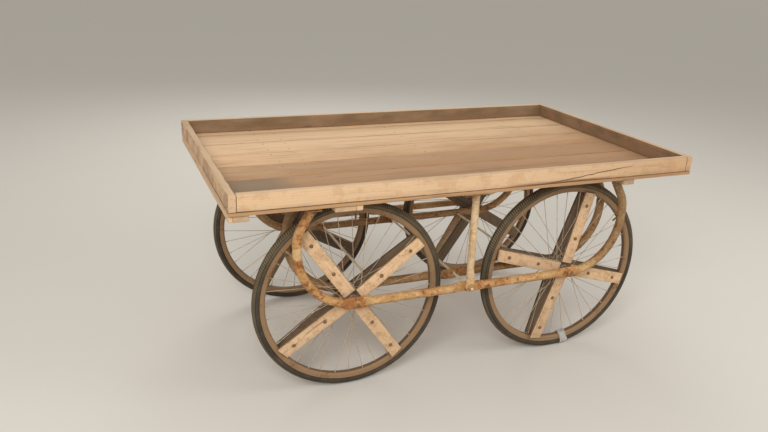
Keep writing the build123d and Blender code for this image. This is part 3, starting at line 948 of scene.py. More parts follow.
def spoke_finish(settings):
    """Dull wire with spots of rust."""
    made = Finish("spoke_wire")
    place_on = made.position()
    spots = made.noise(place_on, 60.0, 4.0, 0.65)
    rusty = spots.between(0.54, 0.66)
    fine = made.noise(place_on, 700.0, 2.0)
    base = made.mix(rusty * 0.7, settings.wheel.spoke, tint(150, 112, 76))
    return made.done(
        base, 0.44 + rusty * 0.3 + fine * 0.1, fine, depth=0.0003, strength=0.4, metallic=0.2
    )


def hub_finish(_):
    """Rusty steel with dark grease."""
    made = Finish("hub_rusty_steel")
    place_on = made.position()
    patches = made.noise(place_on, 45.0, 4.0, 0.6)
    fine = made.noise(place_on, 420.0, 3.0)
    rusty = patches.between(0.44, 0.6)
    base = made.mix(rusty, tint(132, 118, 100), tint(104, 66, 38))
    base = made.mix(fine.between(0.4, 0.75) * 0.6, base, tint(60, 44, 32))
    return made.done(
        base, 0.55 + rusty * 0.25, patches + fine * 0.5, depth=0.0007, strength=0.5, metallic=0.25
    )


def rubber_finish(settings):
    """Old rubber, dustier on the ribs, and paler towards the top as painted light."""
    wheel = settings.wheel
    made = Finish("tyre_dusty_rubber")
    place_on = made.position()
    worn = made.attribute("worn", "Fac")
    dust = made.noise(place_on, 22.0, 4.0, 0.6)
    fine = made.noise(place_on, 340.0, 4.0, 0.65)
    # The upper half takes more of the dust colour: painted light on the tyres' tops.
    high = made.parts(place_on)[2].between(0.30, 0.62)
    covered = (worn * 0.72 + dust * 0.5 + fine * 0.2 + high * 0.24 - 0.38).between(0.05, 0.90)
    base = made.mix(covered, wheel.rubber, wheel.dust)
    return made.done(base, 0.78 + fine * 0.15, fine + dust * 0.4, depth=0.0006, strength=0.55)


def steel_finish(name, colour_name, metallic):
    """Steel with patches of rust and dark dirt."""
    def build(settings):
        made = Finish(name)
        place_on = made.position()
        patches = made.noise(place_on, 70.0, 4.0, 0.6)
        fine = made.noise(place_on, 600.0, 3.0, 0.6)
        rusty = patches.between(0.44, 0.62)
        base = made.mix(rusty * 0.6, getattr(settings.fastener, colour_name), tint(128, 88, 54))
        base = made.mix(fine.between(0.5, 0.8) * 0.3, base, tint(78, 58, 42))
        return made.done(
            base, 0.5 + rusty * 0.3, fine + patches * 0.5, depth=0.0005, strength=0.5, metallic=metallic
        )
    return build


def rod_finish(_):
    """Pale galvanised steel with a little rust."""
    made = Finish("pale_galvanised_rod")
    place_on = made.position()
    patches = made.noise(place_on, 40.0, 4.0, 0.6)
    fine = made.noise(place_on, 500.0, 3.0, 0.6)
    base = made.mix(patches.between(0.5, 0.66) * 0.45, tint(210, 196, 172), tint(150, 112, 74))
    return made.done(
        base, 0.5 + fine * 0.15, fine + patches * 0.5, depth=0.0004, strength=0.5, metallic=0.1
    )


def cloth_finish(_):
    """Stained woven cloth."""
    made = Finish("strip_rag")
    along, across, _ = made.parts(made.attribute("grain"))
    warp, weft = ((way * 5200.0).sine() for way in (along, across))
    weave = warp * weft * 0.5 + 0.5
    stains = made.noise(made.attribute("grain"), 55.0, 4.0, 0.6)
    base = made.mix(stains.between(0.42, 0.7) * 0.6, tint(180, 176, 168), tint(134, 122, 106))
    base = made.mix(1.0, base, weave * 0.16 + 0.9, "MULTIPLY")
    return made.done(base, 0.92, weave * 0.5 + stains, depth=0.0007, strength=0.6)


def floor_finish(settings):
    """A pale, slightly uneven floor."""
    made = Finish("pale_floor")
    fine = made.noise(made.position(), 3.0, 4.0, 0.5)
    base = made.mix(fine * 0.12, settings.stage.floor, tint(200, 194, 184))
    return made.done(base, 0.85)


# Where the pipes show more or less rust: point, radius and how much more
RUST_MARKS = (
    ((-0.6565, -0.450, 0.568), 0.026, -0.60),
    ((-0.635, -0.441, 0.645), 0.085, 0.13),
    ((-0.655, -0.441, 0.520), 0.050, 0.12),
    ((-0.610, -0.441, 0.430), 0.090, 0.13),
    ((-0.510, -0.441, 0.370), 0.070, 0.12),
    ((-0.4425, -0.441, 0.3555), 0.050, 0.06),
    ((-0.150, -0.441, 0.3555), 0.080, 0.06),
    ((0.100, -0.441, 0.3600), 0.100, 0.13),
    ((0.600, -0.441, 0.500), 0.120, 0.10),
)

FINISHES = {
    "rim_board": timber_finish(
        "rim_board_timber", streak=0.45, greying=0.20, dirt=board_stains_and_shade, lift=1.02, ring_share=0.08
    ),
    "deck": timber_finish("deck_timber", streak=0.45, greying=0.16, dirt=deck_wear_and_shade, lift=1.12),
    "bearer": timber_finish("bearer_timber", streak=0.5, greying=0.75, lift=0.82),
    "block": timber_finish("block_timber", streak=0.3, greying=0.15, lift=1.02),
    "batten": timber_finish("batten_timber", streak=0.34, greying=0.22, dirt=batten_specks_and_shade, lift=0.99),
    # The inside battens get a darkened copy of the batten timber: painted shade.
    "shaded_batten": timber_finish(
        "shaded_batten_timber", streak=0.9, greying=0.8, dirt=batten_specks_and_shade, lift=0.26
    ),
    "pipe": pipe_finish(
        "pipe_worn_paint", "paint", rust_share=0.0, marks=RUST_MARKS, dark_end=(0.47, 0.62)
    ),
    # The inner frames get a darkened copy of the pipe paint: painted shade.
    "shaded_pipe": pipe_finish("shaded_pipe_worn_paint", "paint", rust_share=0.05, lift=0.66),
    "strut": pipe_finish("strut_worn_paint", "strut_paint", rust_share=-0.08),
    "nut": pipe_finish("nut_worn_paint", "paint", rust_share=0.10),
    "rim": rim_finish,
    "spoke": spoke_finish,
    "hub": hub_finish,
    "rubber": rubber_finish,
    "rod": rod_finish,
    "nail": steel_finish("dusty_nail_steel", "nail", 0.1),
    "dark_steel": steel_finish("dark_rusted_steel", "dark", 0.2),
    "cloth": cloth_finish,
    "floor": floor_finish,
}


# Pieces


class HANDCART_OT_rim_boards(bpy.types.Operator):
    """Saw the four boards round the tray"""

    bl_idname = "hand_cart.rim_boards"
    bl_label = "Rim Boards"

    def execute(self, context):
        settings = context.scene.hand_cart.timber
        rows = (
            ("front", (1, 0, 0), (0, -1, 0), 11, (3, 0.0005, 0.0024)),
            ("back", (-1, 0, 0), (0, 1, 0), 23, None),
            ("left", (0, -1, 0), (-1, 0, 0), 35, None),
            ("right", (0, 1, 0), (1, 0, 0), 47, None),
        )
        for side, along, outward, seed, wane in rows:
            node = "tray_board_" + side
            low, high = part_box(node)
            size = high - low
            along, outward = Vector(along), Vector(outward)
            thick = abs(size.dot(outward))
            start = (low + high) / 2 - along * abs(size.dot(along)) / 2 - outward * thick / 2
            shape = timber(
                Shape(), board_frame(start, along, (0, 0, 1)),
                (abs(size.dot(along)), size.z, thick), seed, settings, wane,
            )
            wood = finish("rim_board")
            place("rim_board_" + side, shape.mesh(node), CART, wood, (node,))
        return {"FINISHED"}


def planks():
    """Where each deck plank starts across the cart, and its width."""
    low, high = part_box("deck_planks")
    edge = low.y
    while edge < high.y - 0.01:
        width = min(PLANK_WIDTH, high.y - edge)
        yield edge, width
        edge += width + PLANK_GAP


class HANDCART_OT_deck(bpy.types.Operator):
    """Lay the deck planks, one board for each"""

    bl_idname = "hand_cart.deck"
    bl_label = "Deck Planks"

    def execute(self, context):
        low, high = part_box("deck_planks")
        shape = Shape()
        for number, (edge, width) in enumerate(planks()):
            start = (low.x, edge + width / 2, low.z)
            size = (high.x - low.x, width, high.z - low.z)
            seed = 3 + 13 * number
            timber(shape, board_frame(start, (1, 0, 0), (0, 1, 0)), size, seed,
                   context.scene.hand_cart.timber, skew=0.002 + (seed % 3) * 0.0012)
        place("deck_timber_planks", shape.mesh("deck"), CART, finish("deck"),
              ("deck_planks",))
        return {"FINISHED"}


def cross_timber(low, high, seed, settings):
    """A board that runs across the cart and fills the box between two corners."""
    start = ((low[0] + high[0]) / 2, low[1], low[2])
    size = (high[1] - low[1], high[0] - low[0], high[2] - low[2])
    return timber(Shape(), board_frame(start, (0, 1, 0), (-1, 0, 0)), size, seed, settings)


class HANDCART_OT_bearers(bpy.types.Operator):
    """Saw the cross bearers, the flat cleat, the packing block beside it and the end lath"""

    bl_idname = "hand_cart.bearers"
    bl_label = "Cross Bearers"

    block: FloatVectorProperty(
        name="Packing block", description="Length, width and thickness of the block beside the cleat",
        default=(0.09, 0.0215, 0.0188), unit="LENGTH",
    )
    block_gap: length("Block gap", "Gap between the cleat and the packing block", 0.0015)
    lath_gap: length("Lath gap", "Gap on each side of the end lath", 0.0005)

    def execute(self, context):
        settings = context.scene.hand_cart.timber
        for seed, node in enumerate((*BEARERS, "deck_cleat"), 61):
            shape = cross_timber(*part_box(node), seed * 3, settings)
            place(node + "_timber", shape.mesh(node), CART, finish("bearer"), (node,))
        cleat_low, cleat_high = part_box("deck_cleat")
        block_length, block_width, block_thickness = self.block
        start = cleat_high.x + self.block_gap
        shape = cross_timber(
            (start, cleat_low.y, cleat_high.z - block_thickness),
            (start + block_width, cleat_low.y + block_length, cleat_high.z), 91, settings,
        )
        place("packing_block", shape.mesh("block"), CART, finish("block"))

        # A lath fills the space from the left bearer to the deck's end
        low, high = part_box("bearer_left_end")
        deck_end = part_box("deck_planks")[0].x
        shape = cross_timber(
            (deck_end + self.lath_gap, low.y, low.z), (low.x - self.lath_gap, high.y, high.z),
            97, settings,
        )
        place("end_lath", shape.mesh("lath"), CART, finish("block"))
        return {"FINISHED"}


def batten_frame(hub, side, angle):
    """The matrix on the inner face of one batten arm, from its end at the hub."""
    inner_y, outer_y = 0.0286, 0.0143
    tilt = math.atan2(inner_y - outer_y, BATTEN_END - BATTEN_START)
    across, up = math.cos(angle), math.sin(angle)
    start = hub + Vector((BATTEN_START * across, side * inner_y, BATTEN_START * up))
    arm = Vector((math.cos(tilt) * across, -side * math.sin(tilt), math.cos(tilt) * up))
    face = Vector((math.sin(tilt) * across, side * math.cos(tilt), math.sin(tilt) * up))
    return board_frame(start, arm, face.cross(arm))


def wheel_sides(hub):
    """Name and direction of a wheel's outside and inside."""
    outward = 1 if hub.y > 0 else -1
    return (("outside", outward), ("inside", -outward))


def batten_arms(name):
    """Each batten arm of a wheel: name of its side, number and matrix."""
    for side_name, side in wheel_sides(HUB[name]):
        for quarter in range(4):
            angle = math.radians(BATTEN_TURN[name] + 90 * quarter)
            yield side_name, quarter, batten_frame(HUB[name], side, angle)


class HANDCART_OT_battens(bpy.types.Operator):
    """Saw the battens that stiffen the wheels"""

    bl_idname = "hand_cart.battens"
    bl_label = "Wheel Battens"

    def execute(self, context):
        settings = context.scene.hand_cart.timber
        for number, name in enumerate(HUB):
            shapes = {"outside": Shape(), "inside": Shape()}
            for side_name, quarter, matrix in batten_arms(name):
                seed = 101 + number * 40 + quarter * 7 + (20 if side_name == "inside" else 0)
                timber(shapes[side_name], matrix, BATTEN_SIZE, seed, settings,
                       skew=0.002 + 0.0022 * (seed % 4))
            for side_name, shape in shapes.items():
                node = f"battens_{side_name}_{name}"
                # The inside battens take the painted-shade copy of the timber.
                wood = finish("batten" if side_name == "outside" else "shaded_batten")
                place(f"timber_{node}", shape.mesh(node), "wheel_" + name, wood, (node,))
        return {"FINISHED"}


def eased(step):
    """A smooth step from 0 to 1."""
    return step * step * (3 - 2 * step)


def squeezed(radius, half, share):
    """Half the thickness and half the height of a round pipe on its way to a flat shape."""
    return radius + (half[0] - radius) * share, radius + (half[1] - radius) * share


def bow_rows(radius, lug_shift):
    """Rows of a bow and its rail for bent_pipe, from the foot plate to the lug's rounded end."""
    foot = PLATE_BOTTOM - SHOULDER_DROP - SHOULDER_RADIUS * math.tan(BOW_LEAN / 2)
    full = (0.0, radius, radius)
    knee = BOW_REACH - SHOULDER_RADIUS
    bend = [
        (knee + SHOULDER_RADIUS * math.cos(turn), foot + SHOULDER_RADIUS * math.sin(turn))
        for turn in np.linspace(BOW_LEAN, 0, 9)
    ]
    top = (BOW_TOP_REACH, PLATE_BOTTOM)
    rows = [(*top, *full, 0.7), ((top[0] + bend[0][0]) / 2, (top[1] + bend[0][1]) / 2, *full, 0.4)]
    rows += [(*point, *full, 0.15) for point in bend]
    for turn in np.linspace(0, math.acos(SQUEEZE_START / BOW_REACH), 38):
        low = turn / math.tau * 4
        rows.append((BOW_REACH * math.cos(turn), BOW_CENTRE - BOW_REACH * math.sin(turn), *full,
                     0.08 + 0.5 * low ** 6))

    # Squeezed flat for the axle, and round again for the rail
    start, end = np.array(rows[-1][:2]), np.array((EYE_HALF_LENGTH, AXLE_HEIGHT))
    leaving = np.array((-1.0, (rows[-1][1] - rows[-2][1]) / (rows[-2][0] - rows[-1][0]))) * 0.030
    arriving = np.array((-0.030, 0.0))
    for t in SQUEEZE_STEPS:
        point = (
            start * (2 * t**3 - 3 * t**2 + 1) + leaving * (t**3 - 2 * t**2 + t)
            + end * (3 * t**2 - 2 * t**3) + arriving * (t**3 - t**2)
        )
        rows.append((*point, 0.0, *squeezed(radius, EYE_HALF, eased(t)), 0.6 + 0.3 * t))
    for share in (0.5, 0, -0.5, -1):
        rows.append((share * EYE_HALF_LENGTH, AXLE_HEIGHT, 0.0, *EYE_HALF, 0.95))
    for t in SQUEEZE_STEPS:
        flat = 1 - eased(t)
        reach = -EYE_HALF_LENGTH + (EYE_HALF_LENGTH - SQUEEZE_START) * t
        rows.append((reach, AXLE_HEIGHT, 0.0, *squeezed(radius, EYE_HALF, flat), 0.35 + 0.55 * flat))
    squeeze = LUG_START - HALF_BASE
    rail = np.linspace(-SQUEEZE_START, squeeze, 14)[1:]
    rows += [(reach, AXLE_HEIGHT, *full, 0.15) for reach in rail]
    for t in SQUEEZE_STEPS:
        rows.append((squeeze - (LUG_START - LUG_FLAT) * t, AXLE_HEIGHT, lug_shift * eased(t),
                     *squeezed(radius, LUG_HALF, eased(t)), 0.2 + 0.6 * t))
    rows.append((-HALF_BASE + 0.017, AXLE_HEIGHT, lug_shift, *LUG_HALF, 0.8))
    rows += [(reach, AXLE_HEIGHT, lug_shift, LUG_HALF[0], tall, 0.8)
             for reach, tall in round_end(-HALF_BASE, LUG_HALF[1], LUG_HALF[0])]
    return rows


def foot_plate(x, y, size):
    """The flat plate that is welded on a pipe's foot."""
    centre = (x, y, PLATE_BOTTOM + PLATE_THICKNESS / 2)
    return rounded_slab(centre, (*size, PLATE_THICKNESS), min(size) / 8, 0.0011)


class HANDCART_OT_bows(bpy.types.Operator):
    """Bend and squeeze the pipes of the side frames"""

    bl_idname = "hand_cart.bows"
    bl_label = "Pipe Bows"

    def execute(self, context):
        radius = context.scene.hand_cart.pipe.radius
        for frame_name, frame_y, out_side, outer in side_frames():
            # Inner frames take the painted-shade copy of the paint.
            paint = finish("pipe" if outer else "shaded_pipe")
            for end_name, along, lug_shift in (("left", -1, -LUG_SHIFT), ("right", 1, 0.0)):
                def placed(reach, sideways, height):
                    return np.column_stack((
                        along * (HALF_BASE + reach), frame_y + out_side * sideways, height,
                    ))
                rows = bow_rows(radius, lug_shift)
                points, faces, grain, worn = bent_pipe(rows, placed, level_start=True)
                shape = Shape().add((points, faces), grain, worn)
                shape.add(foot_plate(along * (HALF_BASE + BOW_TOP_REACH), frame_y, BOW_PLATE), worn=0.5)
                node = f"bow_{frame_name}_{end_name}"
                place("pipe_" + node, shape.mesh(node, crease=40), CART, paint, (node,))
        return {"FINISHED"}


class HANDCART_OT_struts(bpy.types.Operator):
    """Make the upright struts over the outer frames' middle joints"""

    bl_idname = "hand_cart.struts"
    bl_label = "Struts"

    def execute(self, context):
        radius = context.scene.hand_cart.pipe.strut_radius
        squeeze = AXLE_HEIGHT + LUG_START
        thin, tall = STRUT_LUG_HALF
        worn_at = ((PLATE_BOTTOM, 0.6), (0.69, 0.3), (0.62, 0.1), (0.52, 0.1), (squeeze, 0.2))
        rows = [(0.0, height, 0.0, radius, radius, worn) for height, worn in worn_at]
        for t in SQUEEZE_STEPS:
            rows.append((0.0, squeeze - (LUG_START - LUG_FLAT) * t, LUG_SHIFT * eased(t),
                         *squeezed(radius, STRUT_LUG_HALF, eased(t)), 0.2 + 0.5 * t))
        rows.append((0.0, AXLE_HEIGHT + tall, LUG_SHIFT, thin, tall, 0.7))
        rows += [(0.0, height, LUG_SHIFT, thin, half, 0.8)
                 for height, half in round_end(AXLE_HEIGHT, tall, thin)]
        for frame_name, frame_y, out_side, outer in side_frames():
            if not outer:
                continue

            def placed(reach, sideways, height):
                return np.column_stack((reach, frame_y + out_side * sideways, height))
            points, faces, grain, worn = bent_pipe(rows, placed)
            shape = Shape().add((points, faces), grain, worn)
            shape.add(foot_plate(0.0, frame_y, STRUT_PLATE), worn=0.5)
            node = "strut_" + frame_name
            mesh = shape.mesh(node, crease=40)
            place("pipe_" + node, mesh, CART, finish("strut"), (node,))
        return {"FINISHED"}


def threaded(half_length, radius, thread):
    """Profile of a rod with threaded ends, as rows of distance and radius."""
    pitch = 0.0015
    rows = [(half_length, radius * 0.7), (half_length - 0.0008, radius * 0.96)]
    for turn in range(round(thread / pitch)):
        start = half_length - 0.001 - turn * pitch
        rows += [(start - pitch * 0.5, radius * 0.86), (start - pitch, radius)]
    rows.append((0.0, radius))
    return [(-along, wide) for along, wide in rows[:-1]] + rows[::-1]


class HANDCART_OT_rods(bpy.types.Operator):
    """Turn the tie rods, the axles and their spacers"""

    bl_idname = "hand_cart.rods"
    bl_label = "Tie Rods and Axles"

    def execute(self, context):
        rows = threaded(MIDDLE_ROD_HALF, ROD_RADIUS, thread=0.015)
        middle = Shape().add(turned(rows, 16, (0, 0, AXLE_HEIGHT), ACROSS), worn=0.4)
        place("middle_rod", middle.mesh("rod"), CART, finish("rod"), ("tie_rod_middle",))
        end, chamfer = SIDE_ROD_HALF, 0.0008
        half = ((end - chamfer, ROD_RADIUS), (end, ROD_RADIUS - chamfer))
        rows = [(-along, wide) for along, wide in half[::-1]] + list(half)
        for name, along in (("left", -1), ("right", 1)):
            rod = Shape().add(turned(rows, 16, (along * ROD_REACH, 0, AXLE_HEIGHT), ACROSS))
            place("outer_rod_" + name, rod.mesh("rod"), CART, finish("rod"),
                  ("tie_rod_" + name,))
        spacers = ((0.036, 0.0084), (0.0368, 0.0098), (0.044, 0.0100), (0.0445, 0.0088),
                   (0.0455, 0.0088), (0.046, 0.0100), (0.0592, 0.0100), (0.060, 0.0092))
        for name, hub in HUB.items():
            rows = threaded(AXLE_HALF, AXLE_RADIUS, thread=0.013)
            axle = Shape().add(turned(rows, 20, hub, ACROSS), worn=0.4)
            for side in (-1, 1):
                rows = [(side * along, wide) for along, wide in spacers]
                axle.add(turned(rows, 20, hub, ACROSS))
            place(name + "_axle", axle.mesh("axle"), CART, finish("dark_steel"),
                  ("axle_" + name,))
        return {"FINISHED"}


def tyre_outline():
    """Rows of sideways place and radius along the tyre's outside, from the left lip to the right."""
    shoulder = (TREAD_HALF, TREAD_SHOULDER)
    side = arc_through((RIM_HALF + 0.0004, 0.3325), (TYRE_HALF, 0.3419), shoulder, 9)
    crown = arc_through(shoulder, (0.0, TYRE_RADIUS), (-TREAD_HALF, TREAD_SHOULDER), 9)
    half = np.concatenate((side, crown[1:5]))
    return np.concatenate((half, (half * (-1, 1))[::-1][1:]))[::-1]


def tread_rib(settings):
    """One rib on each side of the tread, slanted, with its foot in the tyre."""
    outline = tyre_outline()
    upper = outline[outline[:, 1] > 0.3425]
    pitch = math.tau / settings.ribs
    half = pitch * 0.31
    shape = Shape()
    for side in (-1, 1):
        rings = []
        for step, place_y in enumerate((0.0042, 0.0085, 0.0128, 0.0168)):
            top = np.interp(place_y, upper[:, 0], upper[:, 1])
            foot = top - settings.rib_depth * 1.6
            lean = pitch * (0.14 * step + (0.5 if side > 0 else 0.0))
            corners = (
                (top, lean + half * 0.8, 1.0), (top, lean - half * 0.8, 1.0),
                (foot, lean - half, 0.98), (foot, lean + half, 0.98),
            )
            rings.append([
                (radius * math.cos(turn), side * place_y * inward, radius * math.sin(turn))
                for radius, turn, inward in corners
            ])
        shape.add(loft(rings), worn=np.tile((0.85, 0.85, 0.0, 0.0), 4))
    return shape


class HANDCART_OT_tyres(bpy.types.Operator):
    """Mould the tyres with the ribs of their tread"""

    bl_idname = "hand_cart.tyres"
    bl_label = "Tyres"

    segments: IntProperty(name="Segments", description="Steps round the tyre", default=120, min=24)

    def execute(self, context):
        settings = context.scene.hand_cart.wheel
        tree = ring_array_tree()
        rib = model_piece("tread_rib", tread_rib(settings), crease=30)
        outline = tyre_outline()
        floor = (outline[:, 1] > TREAD_START) & (np.abs(outline[:, 0]) > 0.0034)
        outline[floor, 1] -= settings.rib_depth
        bead = ((RIM_HALF - 0.0012, 0.3318), (RIM_HALF - 0.0030, 0.3290), (RIM_HALF - 0.0030, 0.3180))
        left = [(-y, r) for y, r in bead]
        profile = np.concatenate((left[::-1], outline, bead))
        worn = np.where(profile[:, 1] > TREAD_START, 0.12, 0.35)
        for name, hub in HUB.items():
            shape = Shape().add(hoop(profile, hub, self.segments), worn=np.tile(worn, self.segments))
            mesh = grown("tyre", shape.mesh("tyre", crease=50), tree, {
                "Piece": rib, "Count": settings.ribs, "Centre": tuple(hub), "Material": finish("rubber"),
            })
            node = "tyre_" + name
            place("rubber_" + node, mesh, "wheel_" + name, None, (node,))
        bpy.data.objects.remove(rib)
        return {"FINISHED"}


class HANDCART_OT_rims(bpy.types.Operator):
    """Roll the rims and set their valves"""

    bl_idname = "hand_cart.rims"
    bl_label = "Rims"

    segments: IntProperty(name="Segments", description="Steps round the rim", default=96, min=24)

    def execute(self, context):
        half = [
            (0.0, RIM_INNER), (0.0060, RIM_INNER + 0.0003), (0.0090, RIM_INNER + 0.0012),
            (0.0122, RIM_INNER + 0.0040), (0.0137, RIM_INNER + 0.0072), (RIM_HALF, 0.3200),
            (RIM_HALF - 0.0004, 0.3268), (RIM_HALF + 0.0003, 0.3288), (RIM_HALF + 0.0003, 0.3302),
            (RIM_HALF - 0.0006, RIM_RADIUS), (RIM_HALF - 0.0020, 0.3304), (RIM_HALF - 0.0024, 0.3285),
            (RIM_HALF - 0.0024, 0.3180), (0.0085, 0.3130),
        ]
        profile = half + [(-y, r) for y, r in half[::-1] if y > 0]
        valve = ((0.0, 0.0042), (0.0016, 0.0042), (0.0020, 0.0030), (0.014, 0.0030), (0.0145, 0.0036),
                 (0.0215, 0.0036), (0.0225, 0.0028))
        for name, hub in HUB.items():
            shape = Shape().add(hoop(profile, hub, self.segments))
            turn = math.radians(BATTEN_TURN[name] + 52)
            inward = Vector((-math.cos(turn), 0, -math.sin(turn)))
            shape.add(turned(valve, 10, hub - inward * (RIM_INNER + 0.0004), inward))
            node = "rim_" + name
            place("rolled_" + node, shape.mesh(node, crease=40), "wheel_" + name,
                  finish("rim"), (node,))
        return {"FINISHED"}


def add_spokes(shape, settings, side):
    """Adds two neighbouring spokes of one flange, which cross over, about the origin."""
    for index in (0, 1):
        hub_turn = math.radians(20 * index + (10 if side > 0 else 0))
        rim_turn = hub_turn + math.radians(60 if index % 2 else -60)
        through = side * (1 if index % 2 else -1)
        hole = Vector((math.cos(hub_turn), 0, math.sin(hub_turn))) * SPOKE_HOLES
        hole.y = side * FLANGE
        far = Vector((math.cos(rim_turn), 0, math.sin(rim_turn))) * SPOKE_END
        far.y = side * 0.004
        elbow = hole + Vector((0, through * 0.0034, 0))
        run = (far - elbow).normalized()
        path = [hole - Vector((0, through * 0.0030, 0)), hole + Vector((0, through * 0.0016, 0)),
                elbow - Vector((0, through * 0.0006, 0)) + run * 0.0010, elbow + run * 0.0036,
                elbow + run * 0.012, elbow.lerp(far, 0.35), elbow.lerp(far, 0.7), far]
        shape.add(wire(path, settings.spoke_radius))
        head = ((0.0, 0.0016), (0.0008, 0.0023), (0.0016, 0.0012))
        shape.add(turned(head, 8, path[0], (0, -through, 0)), worn=0.6)
        nipple = ((0.0, 0.0024), (0.0014, 0.0024), (0.0020, 0.0019), (settings.nipple, 0.0019),
                  (settings.nipple + 0.001, 0.0013))
        shape.add(turned(nipple, 6, far, -run), worn=0.6)


class HANDCART_OT_hubs(bpy.types.Operator):
    """Turn the hubs and lace the spokes"""

    bl_idname = "hand_cart.hubs"
    bl_label = "Hubs and Spokes"

    def execute(self, context):
        settings = context.scene.hand_cart.wheel
        tree = ring_array_tree()
        pairs = Shape()
        for side in (-1, 1):
            add_spokes(pairs, settings, side)
        piece = model_piece("spoke_pairs", pairs)
        half = [(0.0, 0.0152), (0.014, 0.0156), (0.0205, 0.0170), (0.0238, 0.0200), (0.0240, 0.0310),
                (0.0247, 0.0320), (0.0273, 0.0320), (0.0280, 0.0310), (0.0280, 0.0166), (0.0292, 0.0152),
                (0.0332, 0.0150), (0.0344, 0.0138), (0.0350, 0.0125), (0.0350, 0.0085)]
        profile = [(-along, wide) for along, wide in half[::-1][:-1]] + half
        for name, hub in HUB.items():
            shell = Shape().add(turned(profile, 40, hub, ACROSS))
            place("hub_" + name, shell.mesh("hub"), "wheel_" + name, finish("hub"),
                  ("hub_spokes_" + name,))
            mesh = grown("spokes", Shape().mesh("none"), tree, {
                "Piece": piece, "Count": SPOKE_PATTERN, "Centre": tuple(hub), "Material": finish("spoke"),
            })
            place("wire_spokes_" + name, mesh, "wheel_" + name)
        bpy.data.objects.remove(piece)
        return {"FINISHED"}


def nail_points():
    """Where nails hold the deck and the end boards: place and facing."""
    wander = np.random.default_rng(7)
    level = DECK_TOP - 0.0003
    nails = []
    for node in (*BEARERS, "deck_cleat"):
        start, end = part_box(node)
        x = (start.x + end.x) / 2
        for edge, width in planks():
            for share in (0.2, 0.8) if width > 0.1 else (0.5,):
                drift = wander.uniform(-0.006, 0.006, 2)
                nails.append(((x + drift[0], edge + width * share + drift[1], level), (0, 0, 1)))
    end_face, board_middle = 0.8897, 0.507
    for side in (-1, 1):
        for end in (-1, 1):
            for height in (0.773, 0.797):
                drift = wander.uniform(-0.003, 0.003, 2)
                spot = (end * end_face, side * board_middle + drift[0], height + drift[1])
                nails.append((spot, (end, 0, 0)))
    return nails


def batten_bolt_places(name):
    """Where bolts hold a wheel's battens: place and facing."""
    for _, _, matrix in batten_arms(name):
        face = (matrix.to_3x3() @ Vector((0, 0, 1))).normalized()
        for radius in BATTEN_BOLTS:
            yield matrix @ Vector((radius - BATTEN_START, 0, BATTEN_SIZE[2] - 0.0002)), face


def dome(radius, height, sides=12):
    """A round head standing on the XY plane."""
    rows = ((-0.0008, radius), (height * 0.25, radius), (height * 0.62, radius * 0.86),
            (height * 0.92, radius * 0.5), (height, radius * 0.18))
    return Shape().add(turned(rows, sides))


def nut_on_washer(name, size, height, washer, segments):
    """A hexagon nut standing on its washer, whose rows are distance and radius."""
    shape = Shape().add(turned(washer, segments))
    points, faces = hex_nut(size, height)
    return model_piece(name, shape.add((points + (0, 0, washer[-1][0]), faces)))


def scatter(name, model, spots, body, material, seed):
    """Sets a model on many spots and makes one plain piece of them for a body."""
    points = point_mesh(name, [spot[0] for spot in spots], [spot[1] for spot in spots])
    mesh = grown(name, points, set_on_points_tree(), {
        "Piece": model, "Seed": seed, "Size Spread": 0.04, "Material": finish(material),
    })
    place(name, mesh, body)


class HANDCART_OT_fasteners(bpy.types.Operator):
    """Set the nuts, bolts and nails"""

    bl_idname = "hand_cart.fasteners"
    bl_label = "Nuts, Bolts and Nails"

    def execute(self, context):
        settings = context.scene.hand_cart
        size = settings.fastener.nut_size
        inner, outer = size * 0.60, size * 0.64
        washer = ((0.0, inner), (0.0003, outer), (0.0015, outer), (0.0018, inner))
        nut = nut_on_washer("nut", size, 0.0082, washer, 20)
        bolt = nut_on_washer("bolt", BOLT_SIZE, 0.0070, ((0.0, BOLT_WASHER), (0.0012, BOLT_WASHER)), 16)
        batten_bolt = model_piece("batten_bolt", dome(settings.fastener.bolt_head, 0.0042))
        nail = model_piece("nail", dome(settings.timber.nail_head, 0.0011, sides=9))

        centres = [(hub, AXLE_NUT) for hub in HUB.values()]
        centres.append((Vector((0, 0, AXLE_HEIGHT)), MIDDLE_ROD_NUT))
        nuts = [(centre + ACROSS * side * reach, ACROSS * side)
                for centre, reach in centres for side in (-1, 1)]
        scatter("frame_nuts", nut, nuts, CART, "nut", seed=3)
        spots = []
        for _, frame_y, _, outer in side_frames():
            for end in (-1, 1):
                x = end * (HALF_BASE + BOW_TOP_REACH)
                spots += [(x, frame_y + side * BOW_BOLT_SHIFT) for side in (-1, 1)]
            if outer:
                spots += [(side * STRUT_BOLT_SHIFT, frame_y) for side in (-1, 1)]
        bolts = [((*spot, PLATE_BOTTOM), (0, 0, -1)) for spot in spots]
        scatter("foot_plate_bolts", bolt, bolts, CART, "dark_steel", seed=5)
        scatter("board_nails", nail, nail_points(), CART, "nail", seed=9)
        for number, name in enumerate(HUB):
            scatter("batten_bolts_" + name, batten_bolt, list(batten_bolt_places(name)), "wheel_" + name,
                    "dark_steel", seed=11 + number)
        for model in (nut, bolt, batten_bolt, nail):
            bpy.data.objects.remove(model)
        return {"FINISHED"}


def circle_round(centre, first, second, radii, count=28):
    """Points of an ellipse about a centre."""
    turns = np.arange(count) * math.tau / count
    return (np.asarray(centre) + np.outer(np.cos(turns) * radii[0], first)
            + np.outer(np.sin(turns) * radii[1], second))


